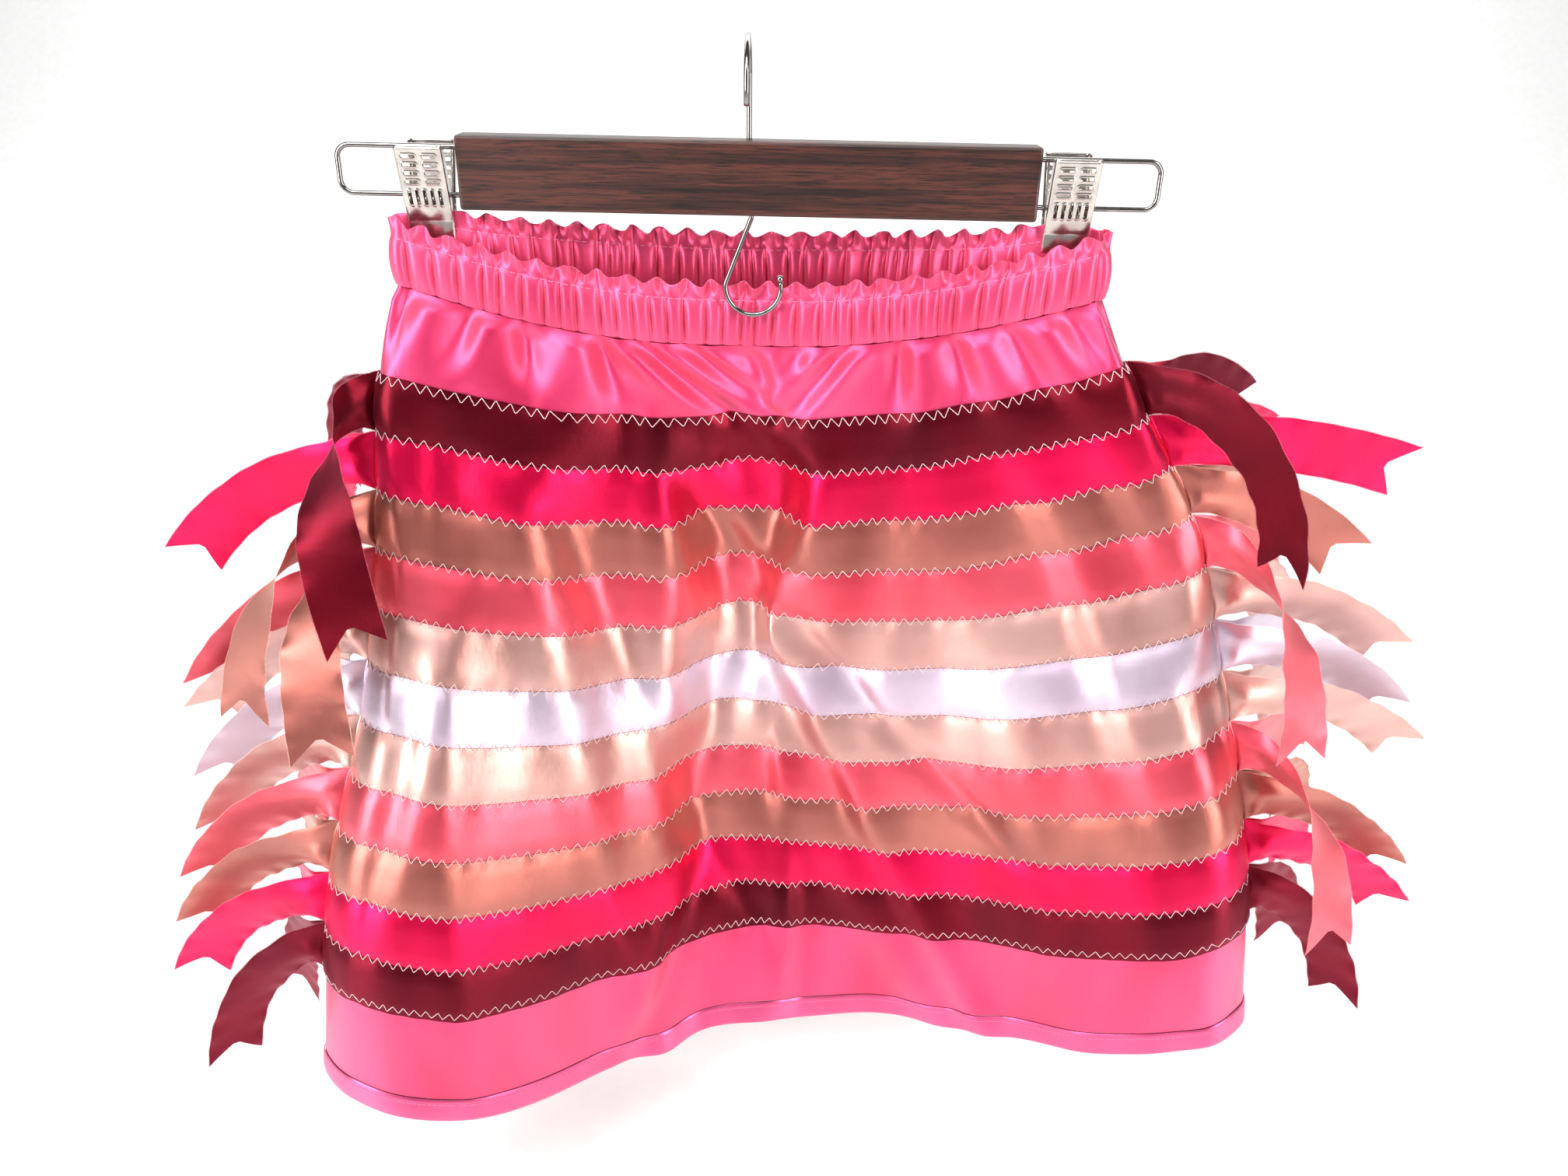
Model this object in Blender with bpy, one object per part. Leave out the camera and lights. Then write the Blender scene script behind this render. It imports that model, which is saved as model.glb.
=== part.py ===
"""A child's ribbon skirt hanging from a wood-and-wire clip hanger.

The skirt is two A-line panels of pink satin with eleven satin ribbons laid across each, a gathered
elastic waistband with a ruffled header, and a narrow hem band. Every ribbon runs on past both side
seams as a free tail with a V-cut end. The hanger is a wooden bar on a wire loop, with a swivel hook
above it, a J-shaped hook below it, and two sprung clips that hold the back of the waistband.

Lengths in the tables are millimetres in the bar's frame: the middle of the bar is its origin, +X is
to the right, the front of the skirt faces -Y and +Z is up. The object's own origin is the inside of
the top hook's crook, where the hanger is held; an empty carries the bar's frame there.
"""
import math
from collections import namedtuple

import bmesh
import bpy
from mathutils import Matrix, Vector

MM = 0.001

# ---- driving sizes, mm ------------------------------------------------------------------------
HANGER_WIDTH = 330.0
WIRE = 2.2                  # diameter of every wire
GAP = 0.3                   # clearance between neighbouring pieces

BAR_LENGTH = 231.0
BAR_HEIGHT = 28.5
BAR_DEPTH = 12.0
BAR_EDGE = 1.2              # rounding of the bar's edges
WIRE_RISE = 9.2             # the two runs of the wire loop lie this far above and below the middle
LOOP_CORNER = 5.0
WIRE_BURIED = 10.0          # how far the wires reach into the wood

CROOK_RADIUS = 16.0         # top hook, middle of the wire
CROOK_HEIGHT = 36.0         # centre of the crook above the middle of the bar
CROOK_END = 205.0           # degrees of arc from the shank round to the tip

J_TOP_X = 1.0               # lower hook: shank, bowl and knob
J_BOWL_X = 2.0
J_BOWL_Z = -43.5
J_RADIUS = 11.5
J_BALL = 1.6

CLIP_X = 128.5
CLIP_WIDTH = 18.6
CLIP_SHEET = 0.8
CLIP_FLANGE = 4.2           # depth of a plate's folded sides
CLIP_FLANGE_GAP = 1.9       # they stop this far from the middle of the clip
CLIP_FLANGE_FOOT = -14.0    # and this far below the middle of the bar
# Height, and distance from the middle of the clip, down a plate from its rolled top to its jaw.
CLIP_PROFILE = ((10.6, 11.2), (9.4, 12.0), (7.2, 11.2), (5.9, 10.8), (3.9, 10.2), (2.6, 9.8),
                (0.6, 9.2), (-0.7, 8.8), (-2.7, 8.2), (-4.0, 7.8), (-6.5, 7.0), (-13.5, 4.7),
                (-19.0, 2.4), (-26.5, 2.0))
CLIP_SLOT_ROWS = (2, 4, 6, 8, 10)
SPRING_OUTER = 3.0
SPRING_LENGTH = 13.0

PANEL_WALL = 1.0
RIBBON_WALL = 1.0
BAND_WALL = 2.4             # elastic between two layers of satin
HEADER_WALL = 1.0
HEM_WALL = 1.6
RIBBON_INNER = PANEL_WALL / 2 + GAP     # from the middle of the panel's wall

RIBBONS = 11
RIBBON_WIDTH = 25.4
RIBBON_PITCH = 25.7
YOKE_LEFT = 37.0            # waist seam down to the first ribbon, at the left and right seams
YOKE_RIGHT = 28.0
HEM_PANEL = 43.0
HEM_BAND = 12.5
NOTCH = 11.0                # depth of the V cut in a tail's end
TAIL_STEPS = 6
TAIL_PINCH = 0.2            # how much narrower a tail is where it leaves the seam

BAND_CASING = 19.5
BAND_HEADER = 6.5
GATHERS = 16                # on each half of the waistband
GATHER_DEPTH = 0.7

# Distances down the cloth from the waist seam at which the tables below are given.
LEVELS = (0.0, 33.0, 110.0, 187.0, 264.0, 371.0)
LEFT_X = (-144.0, -152.0, -160.0, -169.0, -186.0, -200.0)       # left side seam
MIDDLE_X = (2.0, 10.0, 14.0, 16.0, 17.0, 20.0)
RIGHT_X = (146.0, 159.0, 197.0, 219.0, 239.0, 252.0)            # right side seam
SEAM_LEFT = (4.0, 12.0, 24.0, 44.0, 66.0, 80.0)                 # forward of the bar
SEAM_RIGHT = (4.0, 11.0, 15.0, 24.0, 36.0, 46.0)
TURN = (0.014, 0.025, 0.035, 0.045, 0.05, 0.05)                 # width of the turn at a side seam
TURN_SHARE = 0.06
SEAM_PART = 0.5             # how far each panel's edge stops from the side seam

# Fold lines from the left seam (0) to the right seam (1): the height of the waist seam, and how far
# forward of the bar the cloth stands at each level.
Fold = namedtuple("Fold", "across seam waist yoke upper middle lower hem")
FRONT_FOLDS = (
    Fold(0.00, -44.0,  8,  18,  32,  58,  84,  96),
    Fold(0.10, -52.5,  8,  14,  32,  64,  92, 112),
    Fold(0.20, -60.0,  6,  14,  22,  44,  75,  99),
    Fold(0.30, -65.6,  2,  -2,   4,  20,  40,  60),
    Fold(0.35, -67.6,  0,   0,   0,  12,  26,  44),
    Fold(0.40, -69.0, -3,  -8, -16,  -8,   8,  29),
    Fold(0.50, -70.0, -6, -12, -20, -19,  -4,  22),
    Fold(0.55, -69.7, -5,  -4,  -6,  -8,  -2,  14),
    Fold(0.60, -68.9, -3,  -2,  -2,   0,   2,  12),
    Fold(0.70, -65.5,  0,   2,   2,   6,  15,  26),
    Fold(0.80, -60.0,  4,   6,   8,  24,  37,  50),
    Fold(0.90, -52.3,  8,  12,  14,  36,  59,  72),
    Fold(1.00, -44.0,  8,  18,  22,  36,  54,  66),
)
BACK_FOLDS = (
    Fold(0.00, -44.0,   0,   5,  12,  24,  40,  52),
    Fold(0.05, -41.5,   0,  -8,  -4,   4,  12,  20),
    Fold(0.14, -44.0,  -1, -20, -22, -20, -16,  -8),
    Fold(0.24, -48.0, -13, -28, -34, -38, -42, -40),
    Fold(0.36, -51.5, -24, -34, -37, -37, -36, -32),
    Fold(0.48, -53.0, -28, -38, -43, -47, -50, -50),
    Fold(0.60, -52.0, -26, -35, -39, -40, -39, -36),
    Fold(0.72, -49.5, -16, -31, -38, -44, -48, -50),
    Fold(0.84, -45.0,  -1, -20, -24, -26, -24, -20),
    Fold(0.95, -41.5,   0,  -8,  -8,  -4,   0,   6),
    Fold(1.00, -44.0,   0,   4,   6,  10,  16,  24),
)

# Ribbon tails, a row each. azimuth: the way it leaves, 0 straight out of the seam and + to the
# front; fan: how much that changes to the tip; lift and droop: its slope at the root and the tip;
# bend: how early it droops, less is earlier; roll: how far it turns on its side. Degrees and mm.
Tail = namedtuple("Tail", "ribbon azimuth fan lift droop bend roll length")
FRONT_LEFT_TAILS = (
    Tail(0,   60,  85, -10, -74, 0.50,  75, 118),
    Tail(1,   -5,  -8,  -8, -52, 1.00,  25, 114),
    Tail(2,   62,  55,   4, -80, 0.55,  80, 118),
    Tail(3,   -5,  -5, -14, -60, 1.00,  40, 114),
    Tail(4,  -12,  -5, -12, -52, 1.00,  45, 112),
    Tail(5,  -12,  -5, -12, -62, 1.00,  45, 112),
    Tail(6,  -12,  -5, -12, -66, 1.00,  45, 110),
    Tail(7,  -12,  -5, -12, -64, 1.00,  40, 112),
    Tail(8,  -12,  -5, -12, -64, 1.00,  40, 108),
    Tail(9,  -12,  -5, -12, -66, 1.00,  35, 108),
    Tail(10,  -5,   0, -18, -80, 0.70,  45, 104),
)
BACK_LEFT_TAILS = (
    Tail(0,  -55,  -5,  -8, -66, 0.90,  20,  90),
    Tail(1,  -55,  -5,  -8, -66, 0.90,  20, 112),
    Tail(2,   20,  62,  14, -80, 0.60,  80, 116),
    Tail(3,  -55,  -5, -12, -66, 0.90,  20, 112),
    Tail(4,  -55,  -5, -12, -60, 0.90,  20, 112),
    Tail(5,  -62,  -5, -12, -64, 0.90,  20, 112),
    Tail(6,  -62,  -5, -12, -64, 0.90,  20, 110),
    Tail(7,  -56,  -5, -12, -64, 0.90,  20, 110),
    Tail(8,  -62,  -5, -12, -64, 0.90,  20, 110),
    Tail(9,  -62,  -5, -12, -66, 0.80,  20, 108),
    Tail(10, -55,   0, -16, -76, 0.70,  20, 104),
)
FRONT_RIGHT_TAILS = (
    Tail(0,   40,  10,  28, -88, 0.75,  15, 112),
    Tail(1,   -5,   0,   4, -18, 1.00,  10, 114),
    Tail(2,   -5,   0,   2, -44, 0.90,  15,  90),
    Tail(3,   34,  50,   6, -82, 0.60,  78, 116),
    Tail(4,  -12,  -5,   2, -44, 1.00,  35, 112),
    Tail(5,  -12,  -5,   2, -50, 1.00,  35, 112),
    Tail(6,  -12,  -5,   2, -44, 1.00,  35, 114),
    Tail(7,   34,  50,   8, -82, 0.60,  78, 112),
    Tail(8,  -12,  -5,  -8, -56, 1.00,  40, 110),
    Tail(9,  -12,  -5,  -4, -54, 0.90,  40, 108),
    Tail(10,  -5,   5, -10, -80, 0.70,  45, 100),
)
BACK_RIGHT_TAILS = (
    Tail(0,  -42,   0,   8, -34, 0.90,  10,  92),
    Tail(1,  -46,   0,   4, -26, 1.00,  20, 100),
    Tail(2,  -50,   0,   2, -50, 0.90,  25, 108),
    Tail(3,  -50,  -5,   2, -58, 0.90,  30, 112),
    Tail(4,  -50,  -5,   2, -54, 1.00,  30, 112),
    Tail(5,  -50,  -5,   2, -58, 1.00,  30, 112),
    Tail(6,  -50,  -5,   0, -58, 1.00,  30, 110),
    Tail(7,  -50,  -5,   0, -58, 1.00,  30, 110),
    Tail(8,  -50,  -5,  -2, -60, 1.00,  30, 110),
    Tail(9,  -50,  -5,  -4, -62, 0.90,  30, 108),
    Tail(10, -50,   0, -10, -74, 0.70,  30, 100),
)

# ---- colours -----------------------------------------------------------------------------------
PINK = (0.90, 0.15, 0.38)
HEM_PINK = (0.85, 0.25, 0.48)
BURGUNDY = (0.18, 0.01, 0.03)
HOT_PINK = (0.85, 0.02, 0.16)
ROSE_GOLD = (0.62, 0.30, 0.22)
CORAL = (0.90, 0.25, 0.28)
CHAMPAGNE = (0.78, 0.58, 0.50)
WHITE = (0.85, 0.80, 0.88)
WALNUT = (0.07, 0.025, 0.018)
CHROME = (0.75, 0.75, 0.77)
Ribbon = namedtuple("Ribbon", "name colour")
RIBBON_ROWS = (
    Ribbon("burgundy_top", BURGUNDY),
    Ribbon("hot_pink_upper", HOT_PINK),
    Ribbon("rose_gold_upper", ROSE_GOLD),
    Ribbon("coral_upper", CORAL),
    Ribbon("champagne_upper", CHAMPAGNE),
    Ribbon("white_middle", WHITE),
    Ribbon("champagne_lower", CHAMPAGNE),
    Ribbon("coral_lower", CORAL),
    Ribbon("rose_gold_lower", ROSE_GOLD),
    Ribbon("hot_pink_lower", HOT_PINK),
    Ribbon("burgundy_bottom", BURGUNDY),
)


# ---- scene helpers -----------------------------------------------------------------------------
def clear_scene():
    for obj in list(bpy.data.objects):
        bpy.data.objects.remove(obj, do_unlink=True)


def material(name, colour, roughness, metallic=0.0):
    """The named Principled material, made once."""
    found = bpy.data.materials.get(name)
    if found:
        return found
    made = bpy.data.materials.new(name)
    made.use_nodes = True
    shader = made.node_tree.nodes["Principled BSDF"]
    shader.inputs["Base Color"].default_value = (*colour, 1.0)
    shader.inputs["Roughness"].default_value = roughness
    shader.inputs["Metallic"].default_value = metallic
    return made


def bar_frame():
    """Empty at the middle of the bar, below and behind the crook that is the object's origin."""
    frame = bpy.data.objects.new("bar_frame", None)
    bpy.context.scene.collection.objects.link(frame)
    crook_inside = CROOK_HEIGHT + CROOK_RADIUS - WIRE / 2
    frame.location = Vector((0.0, CROOK_RADIUS, -crook_inside)) * MM
    return frame


def add_object(name, data, finish, frame):
    obj = bpy.data.objects.new(name, data)
    bpy.context.scene.collection.objects.link(obj)
    obj.parent = frame
    data.materials.append(finish)
    return obj


def mesh_object(name, points, faces, finish, frame, smooth_angle=40.0):
    """Object from points in mm; its faces are turned outwards."""
    mesh = bpy.data.meshes.new(name)
    mesh.from_pydata([Vector(p) * MM for p in points], [], faces)
    shell = bmesh.new()
    shell.from_mesh(mesh)
    bmesh.ops.recalc_face_normals(shell, faces=shell.faces)
    shell.to_mesh(mesh)
    shell.free()
    mesh.shade_smooth()
    mesh.set_sharp_from_angle(angle=math.radians(smooth_angle))
    return add_object(name, mesh, finish, frame)


# ---- the form of the cloth -----------------------------------------------------------------------
def smooth(xs, ys, x):
    """Height at x of the smooth curve through the points (xs, ys)."""
    last = len(xs) - 1
    gaps = [b - a for a, b in zip(xs, xs[1:])]
    rises = [(b - a) / gap for a, b, gap in zip(ys, ys[1:], gaps)]
    slopes = [rises[0]]
    for i in range(1, last):
        slopes.append((rises[i - 1] * gaps[i] + rises[i] * gaps[i - 1]) / (gaps[i] + gaps[i - 1]))
    slopes.append(rises[-1])
    i = max(k for k in range(last) if k == 0 or xs[k] <= x)
    t = min(max((x - xs[i]) / gaps[i], 0.0), 1.0)
    return ((2 * t**3 - 3 * t**2 + 1) * ys[i] + (t**3 - 2 * t**2 + t) * gaps[i] * slopes[i]
            + (-2 * t**3 + 3 * t**2) * ys[i + 1] + (t**3 - t**2) * gaps[i] * slopes[i + 1])


def fold_value(folds, column, across):
    return smooth([fold.across for fold in folds], [getattr(fold, column) for fold in folds], across)


def across_at(share, turn):
    """Where a share of a panel's width lies across the skirt, and how far its turn has opened."""
    edge = min(share, 1.0 - share)
    if edge < TURN_SHARE:
        angle = math.pi / 2 * edge / TURN_SHARE
        across = turn * (1.0 - math.cos(angle))
        opened = math.sin(angle)
    else:
        across = turn + (1.0 - 2.0 * turn) * (edge - TURN_SHARE) / (1.0 - 2.0 * TURN_SHARE)
        opened = 1.0
    return (across if share <= 0.5 else 1.0 - across), opened


def plan_point(folds, share, down):
    """X and Y of the cloth at a share of its width and a distance down it."""
    across, opened = across_at(share, smooth(LEVELS, TURN, down))
    reach = smooth(LEVELS, [fold_value(folds, name, across) for name in Fold._fields[2:]], down)
    seam = smooth(LEVELS, SEAM_LEFT if share < 0.5 else SEAM_RIGHT, down)
    left, middle, right = (smooth(LEVELS, row, down) for row in (LEFT_X, MIDDLE_X, RIGHT_X))
    if across < 0.5:
        x = left + (middle - left) * across * 2.0
    else:
        x = middle + (right - middle) * (across * 2.0 - 1.0)
    return x, -(seam + (reach - seam) * opened)


def cloth_line(folds, share, downs):
    """Points down one line of a panel; its heights follow because the cloth keeps its length."""
    x, y = plan_point(folds, share, downs[0])
    z = fold_value(folds, "seam", across_at(share, TURN[0])[0])
    points = [Vector((x, y, z))]
    for above, below in zip(downs, downs[1:]):
        steps = max(1, math.ceil((below - above) / 6.0))
        step = (below - above) / steps
        for k in range(steps):
            next_x, next_y = plan_point(folds, share, above + step * (k + 1))
            level = (next_x - x)**2 + (next_y - y)**2
            z -= math.sqrt(max(step * step - level, 0.05 * step * step))
            x, y = next_x, next_y
        points.append(Vector((x, y, z)))
    return points


def ribbon_edges(share):
    """Distances down the cloth of the ribbons' edges, then of the hem panel's and hem band's."""
    first = YOKE_LEFT + (YOKE_RIGHT - YOKE_LEFT) * share
    edges = [first + RIBBON_PITCH * k for k in range(RIBBONS + 1)]
    return edges + [edges[-1] + HEM_PANEL, edges[-1] + HEM_PANEL + HEM_BAND]


def shares(inner):
    """Shares of a panel's width: three steps in each side turn and the rest evenly spaced."""
    turn = [TURN_SHARE * k / 3 for k in range(3)]
    middle = [TURN_SHARE + (1.0 - 2.0 * TURN_SHARE) * k / inner for k in range(inner + 1)]
    return turn + middle + [1.0 - value for value in reversed(turn)]


def part_at_seams(columns):
    """Draw the first and last columns in a little, so that front and back stay clear."""
    for end, inside in ((0, 1), (-1, -2)):
        columns[end] = [point + (beside - point).normalized() * SEAM_PART
                        for point, beside in zip(columns[end], columns[inside])]
    return columns


def grid_normals(columns, facing):
    """A unit normal at each point; facing is -1 on the front panel and 1 on the back."""
    normals = []
    last, low = len(columns) - 1, len(columns[0]) - 1
    for i, column in enumerate(columns):
        row = []
        for j in range(low + 1):
            along = columns[min(i + 1, last)][j] - columns[max(i - 1, 0)][j]
            down = column[min(j + 1, low)] - column[max(j - 1, 0)]
            row.append((along.cross(down) * facing).normalized())
        normals.append(row)
    return normals


def slab(columns, normals, inner, outer, open_cells=()):
    """Closed wall on a grid of points, from inner to outer along the normals.

    inner and outer are one offset or one for each row; open_cells are left out as slots."""
    wide, tall = len(columns), len(columns[0])
    points = []
    for offset in (inner, outer):
        steps = offset if isinstance(offset, list) else [offset] * tall
        for column, row in zip(columns, normals):
            points += [point + normal * step for point, normal, step in zip(column, row, steps)]
    cells = {(i, j) for i in range(wide - 1) for j in range(tall - 1)} - set(open_cells)

    def at(layer, i, j):
        return layer * wide * tall + i * tall + j

    faces = []
    for i, j in sorted(cells):
        corners = ((i, j), (i + 1, j), (i + 1, j + 1), (i, j + 1))
        for layer in (0, 1):
            a, b, c, d = (at(layer, *corner) for corner in corners)
            faces += [(a, b, c), (a, c, d)]
        beside = ((i, j - 1), (i + 1, j), (i, j + 1), (i - 1, j))
        for k, neighbour in enumerate(beside):
            if neighbour not in cells:
                start, end = corners[k], corners[(k + 1) % 4]
                faces.append((at(0, *start), at(0, *end), at(1, *end), at(1, *start)))
    used = sorted({index for face in faces for index in face})
    order = {index: k for k, index in enumerate(used)}
    return [points[index] for index in used], [tuple(order[i] for i in face) for face in faces]


PANEL_INNER_STEPS = 14
FIRST_EDGE = 2              # row of a panel's grid that holds the first ribbon's upper edge
HEM_EDGE = FIRST_EDGE + RIBBONS + 1


def panel_grid(folds):
    """Columns of points on a panel: waist seam, yoke, every ribbon edge, and the hem."""
    columns = []
    for share in shares(PANEL_INNER_STEPS):
        edges = ribbon_edges(share)
        columns.append(cloth_line(folds, share, [0.0, edges[0] / 2] + edges))
    return part_at_seams(columns)


# ---- cloth pieces --------------------------------------------------------------------------------
def build_panel(name, columns, normals, finish, frame):
    rows = slice(0, HEM_EDGE + 1)
    points, faces = slab([column[rows] for column in columns], [row[rows] for row in normals],
                         -PANEL_WALL / 2, PANEL_WALL / 2)
    return mesh_object(name, points, faces, finish, frame)


def build_hem_band(name, columns, normals, finish, frame):
    strip, lift = [], []
    for column, row in zip(columns, normals):
        top, low = column[HEM_EDGE], column[HEM_EDGE + 1]
        strip.append([top + (low - top).normalized() * GAP, low])
        lift.append(row[HEM_EDGE:HEM_EDGE + 2])
    points, faces = slab(strip, lift, -HEM_WALL / 2, HEM_WALL / 2)
    return mesh_object(name, points, faces, finish, frame)


def gather_freedom(x):
    """How free the gathers are to swell: not at all where a clip grips the band."""
    return min(max((abs(abs(x) - CLIP_X) - CLIP_WIDTH / 2 - 1.0) / 8.0, 0.0), 1.0)


def build_waistband(name, folds, facing, finish, frame):
    """Elastic casing with gathers, and a thin ruffled header above its stitch line."""
    columns = []
    out = Vector((0.0, facing, 0.0))
    for n, share in enumerate(shares(GATHERS * 2)):
        foot = cloth_line(folds, share, [0.0, 1.0])[0]
        turning = min(share, 1.0 - share) < TURN_SHARE - 0.001
        wave = 0.0 if turning else GATHER_DEPTH * gather_freedom(foot.x) * (-1) ** n
        columns.append([foot + Vector((0.0, 0.0, height)) + out * wave * swell
                        for height, swell in ((BAND_CASING + BAND_HEADER + wave * 0.8, 1.5),
                                              (BAND_CASING, 0.2),
                                              (BAND_CASING / 2, 1.0),
                                              (GAP * 2.5, 0.3))])
    columns = part_at_seams(columns)
    half = [HEADER_WALL / 2, BAND_WALL * 0.3, BAND_WALL / 2, BAND_WALL * 0.35]
    normals = grid_normals(columns, facing)
    points, faces = slab(columns, normals, [-step for step in half], half)
    return mesh_object(name, points, faces, finish, frame)


def ramp(value):
    """Smooth step from 0 to 1."""
    value = min(max(value, 0.0), 1.0)
    return value * value * (3.0 - 2.0 * value)


def tail_frames(tail, side, root, seam_down, outer_way):
    """Place, half-width, outward direction and run of a tail, step by step from its root."""
    fine = 4
    place, frames = root.copy(), []
    for k in range(TAIL_STEPS * fine + 1):
        s = k / (TAIL_STEPS * fine)
        ease = ramp(s / 0.18)
        azimuth = math.radians(tail.azimuth + tail.fan * s) * (0.25 + 0.75 * ease)
        slope = math.radians(tail.lift + (tail.droop - tail.lift) * s**tail.bend) * ease
        along = Vector((side * math.cos(slope) * math.cos(azimuth),
                        -math.cos(slope) * math.sin(azimuth), math.sin(slope)))
        up = (Vector((0.0, 0.0, 1.0)) - along * along.z).normalized()
        roll = math.radians(tail.roll) * min(1.0, s / 0.6)
        rolled = up.cross(along) * side * math.sin(roll) - up * math.cos(roll)
        rooted = (seam_down - along * seam_down.dot(along)).normalized()
        width = rooted.lerp(rolled, ramp(s / 0.2)).normalized()
        if k:
            place = place + along * (tail.length / (TAIL_STEPS * fine))
        outer = width.cross(along) * (-side if outer_way > 0 else side)
        if k % fine == 0:
            pinch = 1.0 - TAIL_PINCH * (1.0 - ramp((s - 0.1) / 0.4))
            frames.append((place.copy(), width * (RIBBON_WIDTH / 2 * pinch), outer, along))
    return frames


def tail_sections(tail, side, upper, lower, normal, inward, facing):
    """Cross-sections of a tail outwards from the seam, and the points of its V cut."""
    root = (upper + lower) / 2 + normal * (RIBBON_INNER + RIBBON_WALL / 2) + inward * RIBBON_WALL / 2
    frames = tail_frames(tail, side, root, (lower - upper).normalized(), facing)
    half_wall = RIBBON_WALL / 2
    sections = []
    for place, half, outer, along in frames[1:]:
        sections.append([place - half + outer * half_wall, place + half + outer * half_wall,
                         place + half - outer * half_wall, place - half - outer * half_wall])
    before, tip = frames[-2], frames[-1]
    back = NOTCH / (tail.length / TAIL_STEPS)
    centre = tip[0].lerp(before[0], back)
    return sections, [centre + tip[2] * half_wall, centre - tip[2] * half_wall]


def build_ribbon(name, number, columns, normals, facing, tails, finish, frame):
    """One solid ribbon: its band across the panel, and a free tail past each side seam."""
    row = FIRST_EDGE + number
    band = []
    for column, lift in zip(columns, normals):
        top, low = column[row], column[row + 1]
        inset = (low - top).normalized() * GAP / 2
        band.append((top + inset, low - inset, lift[row], lift[row + 1]))
    sections = []
    for end, (top, low, upper_lift, lower_lift) in enumerate(band):
        at_seam = end in (0, len(band) - 1)
        beside = band[1] if end == 0 else band[-2]
        inward = (beside[0] - top).normalized() * RIBBON_WALL if at_seam else Vector()
        outer = RIBBON_INNER + RIBBON_WALL
        sections.append([top + upper_lift * outer + inward, low + lower_lift * outer + inward,
                         low + lower_lift * RIBBON_INNER, top + upper_lift * RIBBON_INNER])
    notches = []
    for side in (-1, 1):
        top, low, upper_lift, lower_lift = band[0] if side < 0 else band[-1]
        beside = band[1] if side < 0 else band[-2]
        tail, notch = tail_sections(tails[side][number], side, top, low,
                                    (upper_lift + lower_lift).normalized(),
                                    (beside[0] - top).normalized(), facing)
        notches.append(notch)
        sections = tail[::-1] + sections if side < 0 else sections + tail
    points = [point for section in sections for point in section] + notches[0] + notches[1]
    faces = []
    last = len(sections) - 1
    for k in range(last):
        a, b = 4 * k, 4 * (k + 1)
        faces += [(a + 3, a, b, b + 3), (a + 1, a + 2, b + 2, b + 1)]
        if 0 < k < last - 1:
            faces += [(a, b, b + 1), (a, b + 1, a + 1),
                      (a + 3, b + 3, b + 2), (a + 3, b + 2, a + 2)]
    for tip, before, cut in ((0, 4, 4 * last + 4), (4 * last, 4 * last - 4, 4 * last + 6)):
        outer_cut, inner_cut = cut, cut + 1
        faces += [(tip, before, outer_cut), (before, before + 1, outer_cut),
                  (before + 1, tip + 1, outer_cut),
                  (tip + 3, before + 3, inner_cut), (before + 3, before + 2, inner_cut),
                  (before + 2, tip + 2, inner_cut),
                  (tip, tip + 3, inner_cut, outer_cut), (tip + 1, tip + 2, inner_cut, outer_cut)]
    return mesh_object(name, points, faces, finish, frame)


def build_skirt(frame):
    pink = material("pink_satin", PINK, 0.45)
    band = material("waistband_satin", PINK, 0.5)
    hem = material("hem_satin", HEM_PINK, 0.45)
    for layer, folds, facing, left, right in (
            ("front", FRONT_FOLDS, -1, FRONT_LEFT_TAILS, FRONT_RIGHT_TAILS),
            ("back", BACK_FOLDS, 1, BACK_LEFT_TAILS, BACK_RIGHT_TAILS)):
        columns = panel_grid(folds)
        normals = grid_normals(columns, facing)
        build_panel(layer + "_panel", columns, normals, pink, frame)
        build_hem_band("hem_band_" + layer, columns, normals, hem, frame)
        build_waistband("waistband_" + layer, folds, facing, band, frame)
        for number, ribbon in enumerate(RIBBON_ROWS):
            finish = material("ribbon_" + ribbon.name, ribbon.colour, 0.45)
            build_ribbon(f"ribbon_{layer}_{number + 1:02d}", number, columns, normals, facing,
                         {-1: left, 1: right}, finish, frame)


# ---- hanger --------------------------------------------------------------------------------------
def sweep(path, radius, sides, ball=0.0):
    """Round wire along a path, with flat ends; ball swells its last end into a knob."""
    rings, faces = [], []
    side = None
    for k, point in enumerate(path):
        run = (path[min(k + 1, len(path) - 1)] - path[max(k - 1, 0)]).normalized()
        guess = side if side else (Vector((0.0, 1.0, 0.0)) if abs(run.y) < 0.9 else Vector((1.0, 0.0, 0.0)))
        side = (guess - run * guess.dot(run)).normalized()
        rings.append((point, side, run.cross(side), radius))
    if ball:
        point, across, up, _ = rings.pop()
        run = (path[-1] - path[-2]).normalized()
        for angle in (20, 55, 90, 125, 160):
            turn = math.radians(angle)
            rings.append((point + run * ball * (1.0 - math.cos(turn)), across, up,
                          ball * math.sin(turn)))
    points = [point + (across * math.cos(2 * math.pi * n / sides)
                       + up * math.sin(2 * math.pi * n / sides)) * size
              for point, across, up, size in rings for n in range(sides)]
    for k in range(len(rings) - 1):
        for n in range(sides):
            m = (n + 1) % sides
            faces.append((k * sides + n, k * sides + m, (k + 1) * sides + m, (k + 1) * sides + n))
    faces += [tuple(range(sides)), tuple(range(len(points) - sides, len(points)))]
    return points, faces


def arc(centre, radius, start, end, steps, first, second):
    """Points on an arc, from start to end degrees measured from first towards second."""
    points = []
    for k in range(steps + 1):
        angle = math.radians(start + (end - start) * k / steps)
        points.append(centre + (first * math.cos(angle) + second * math.sin(angle)) * radius)
    return points


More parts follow.
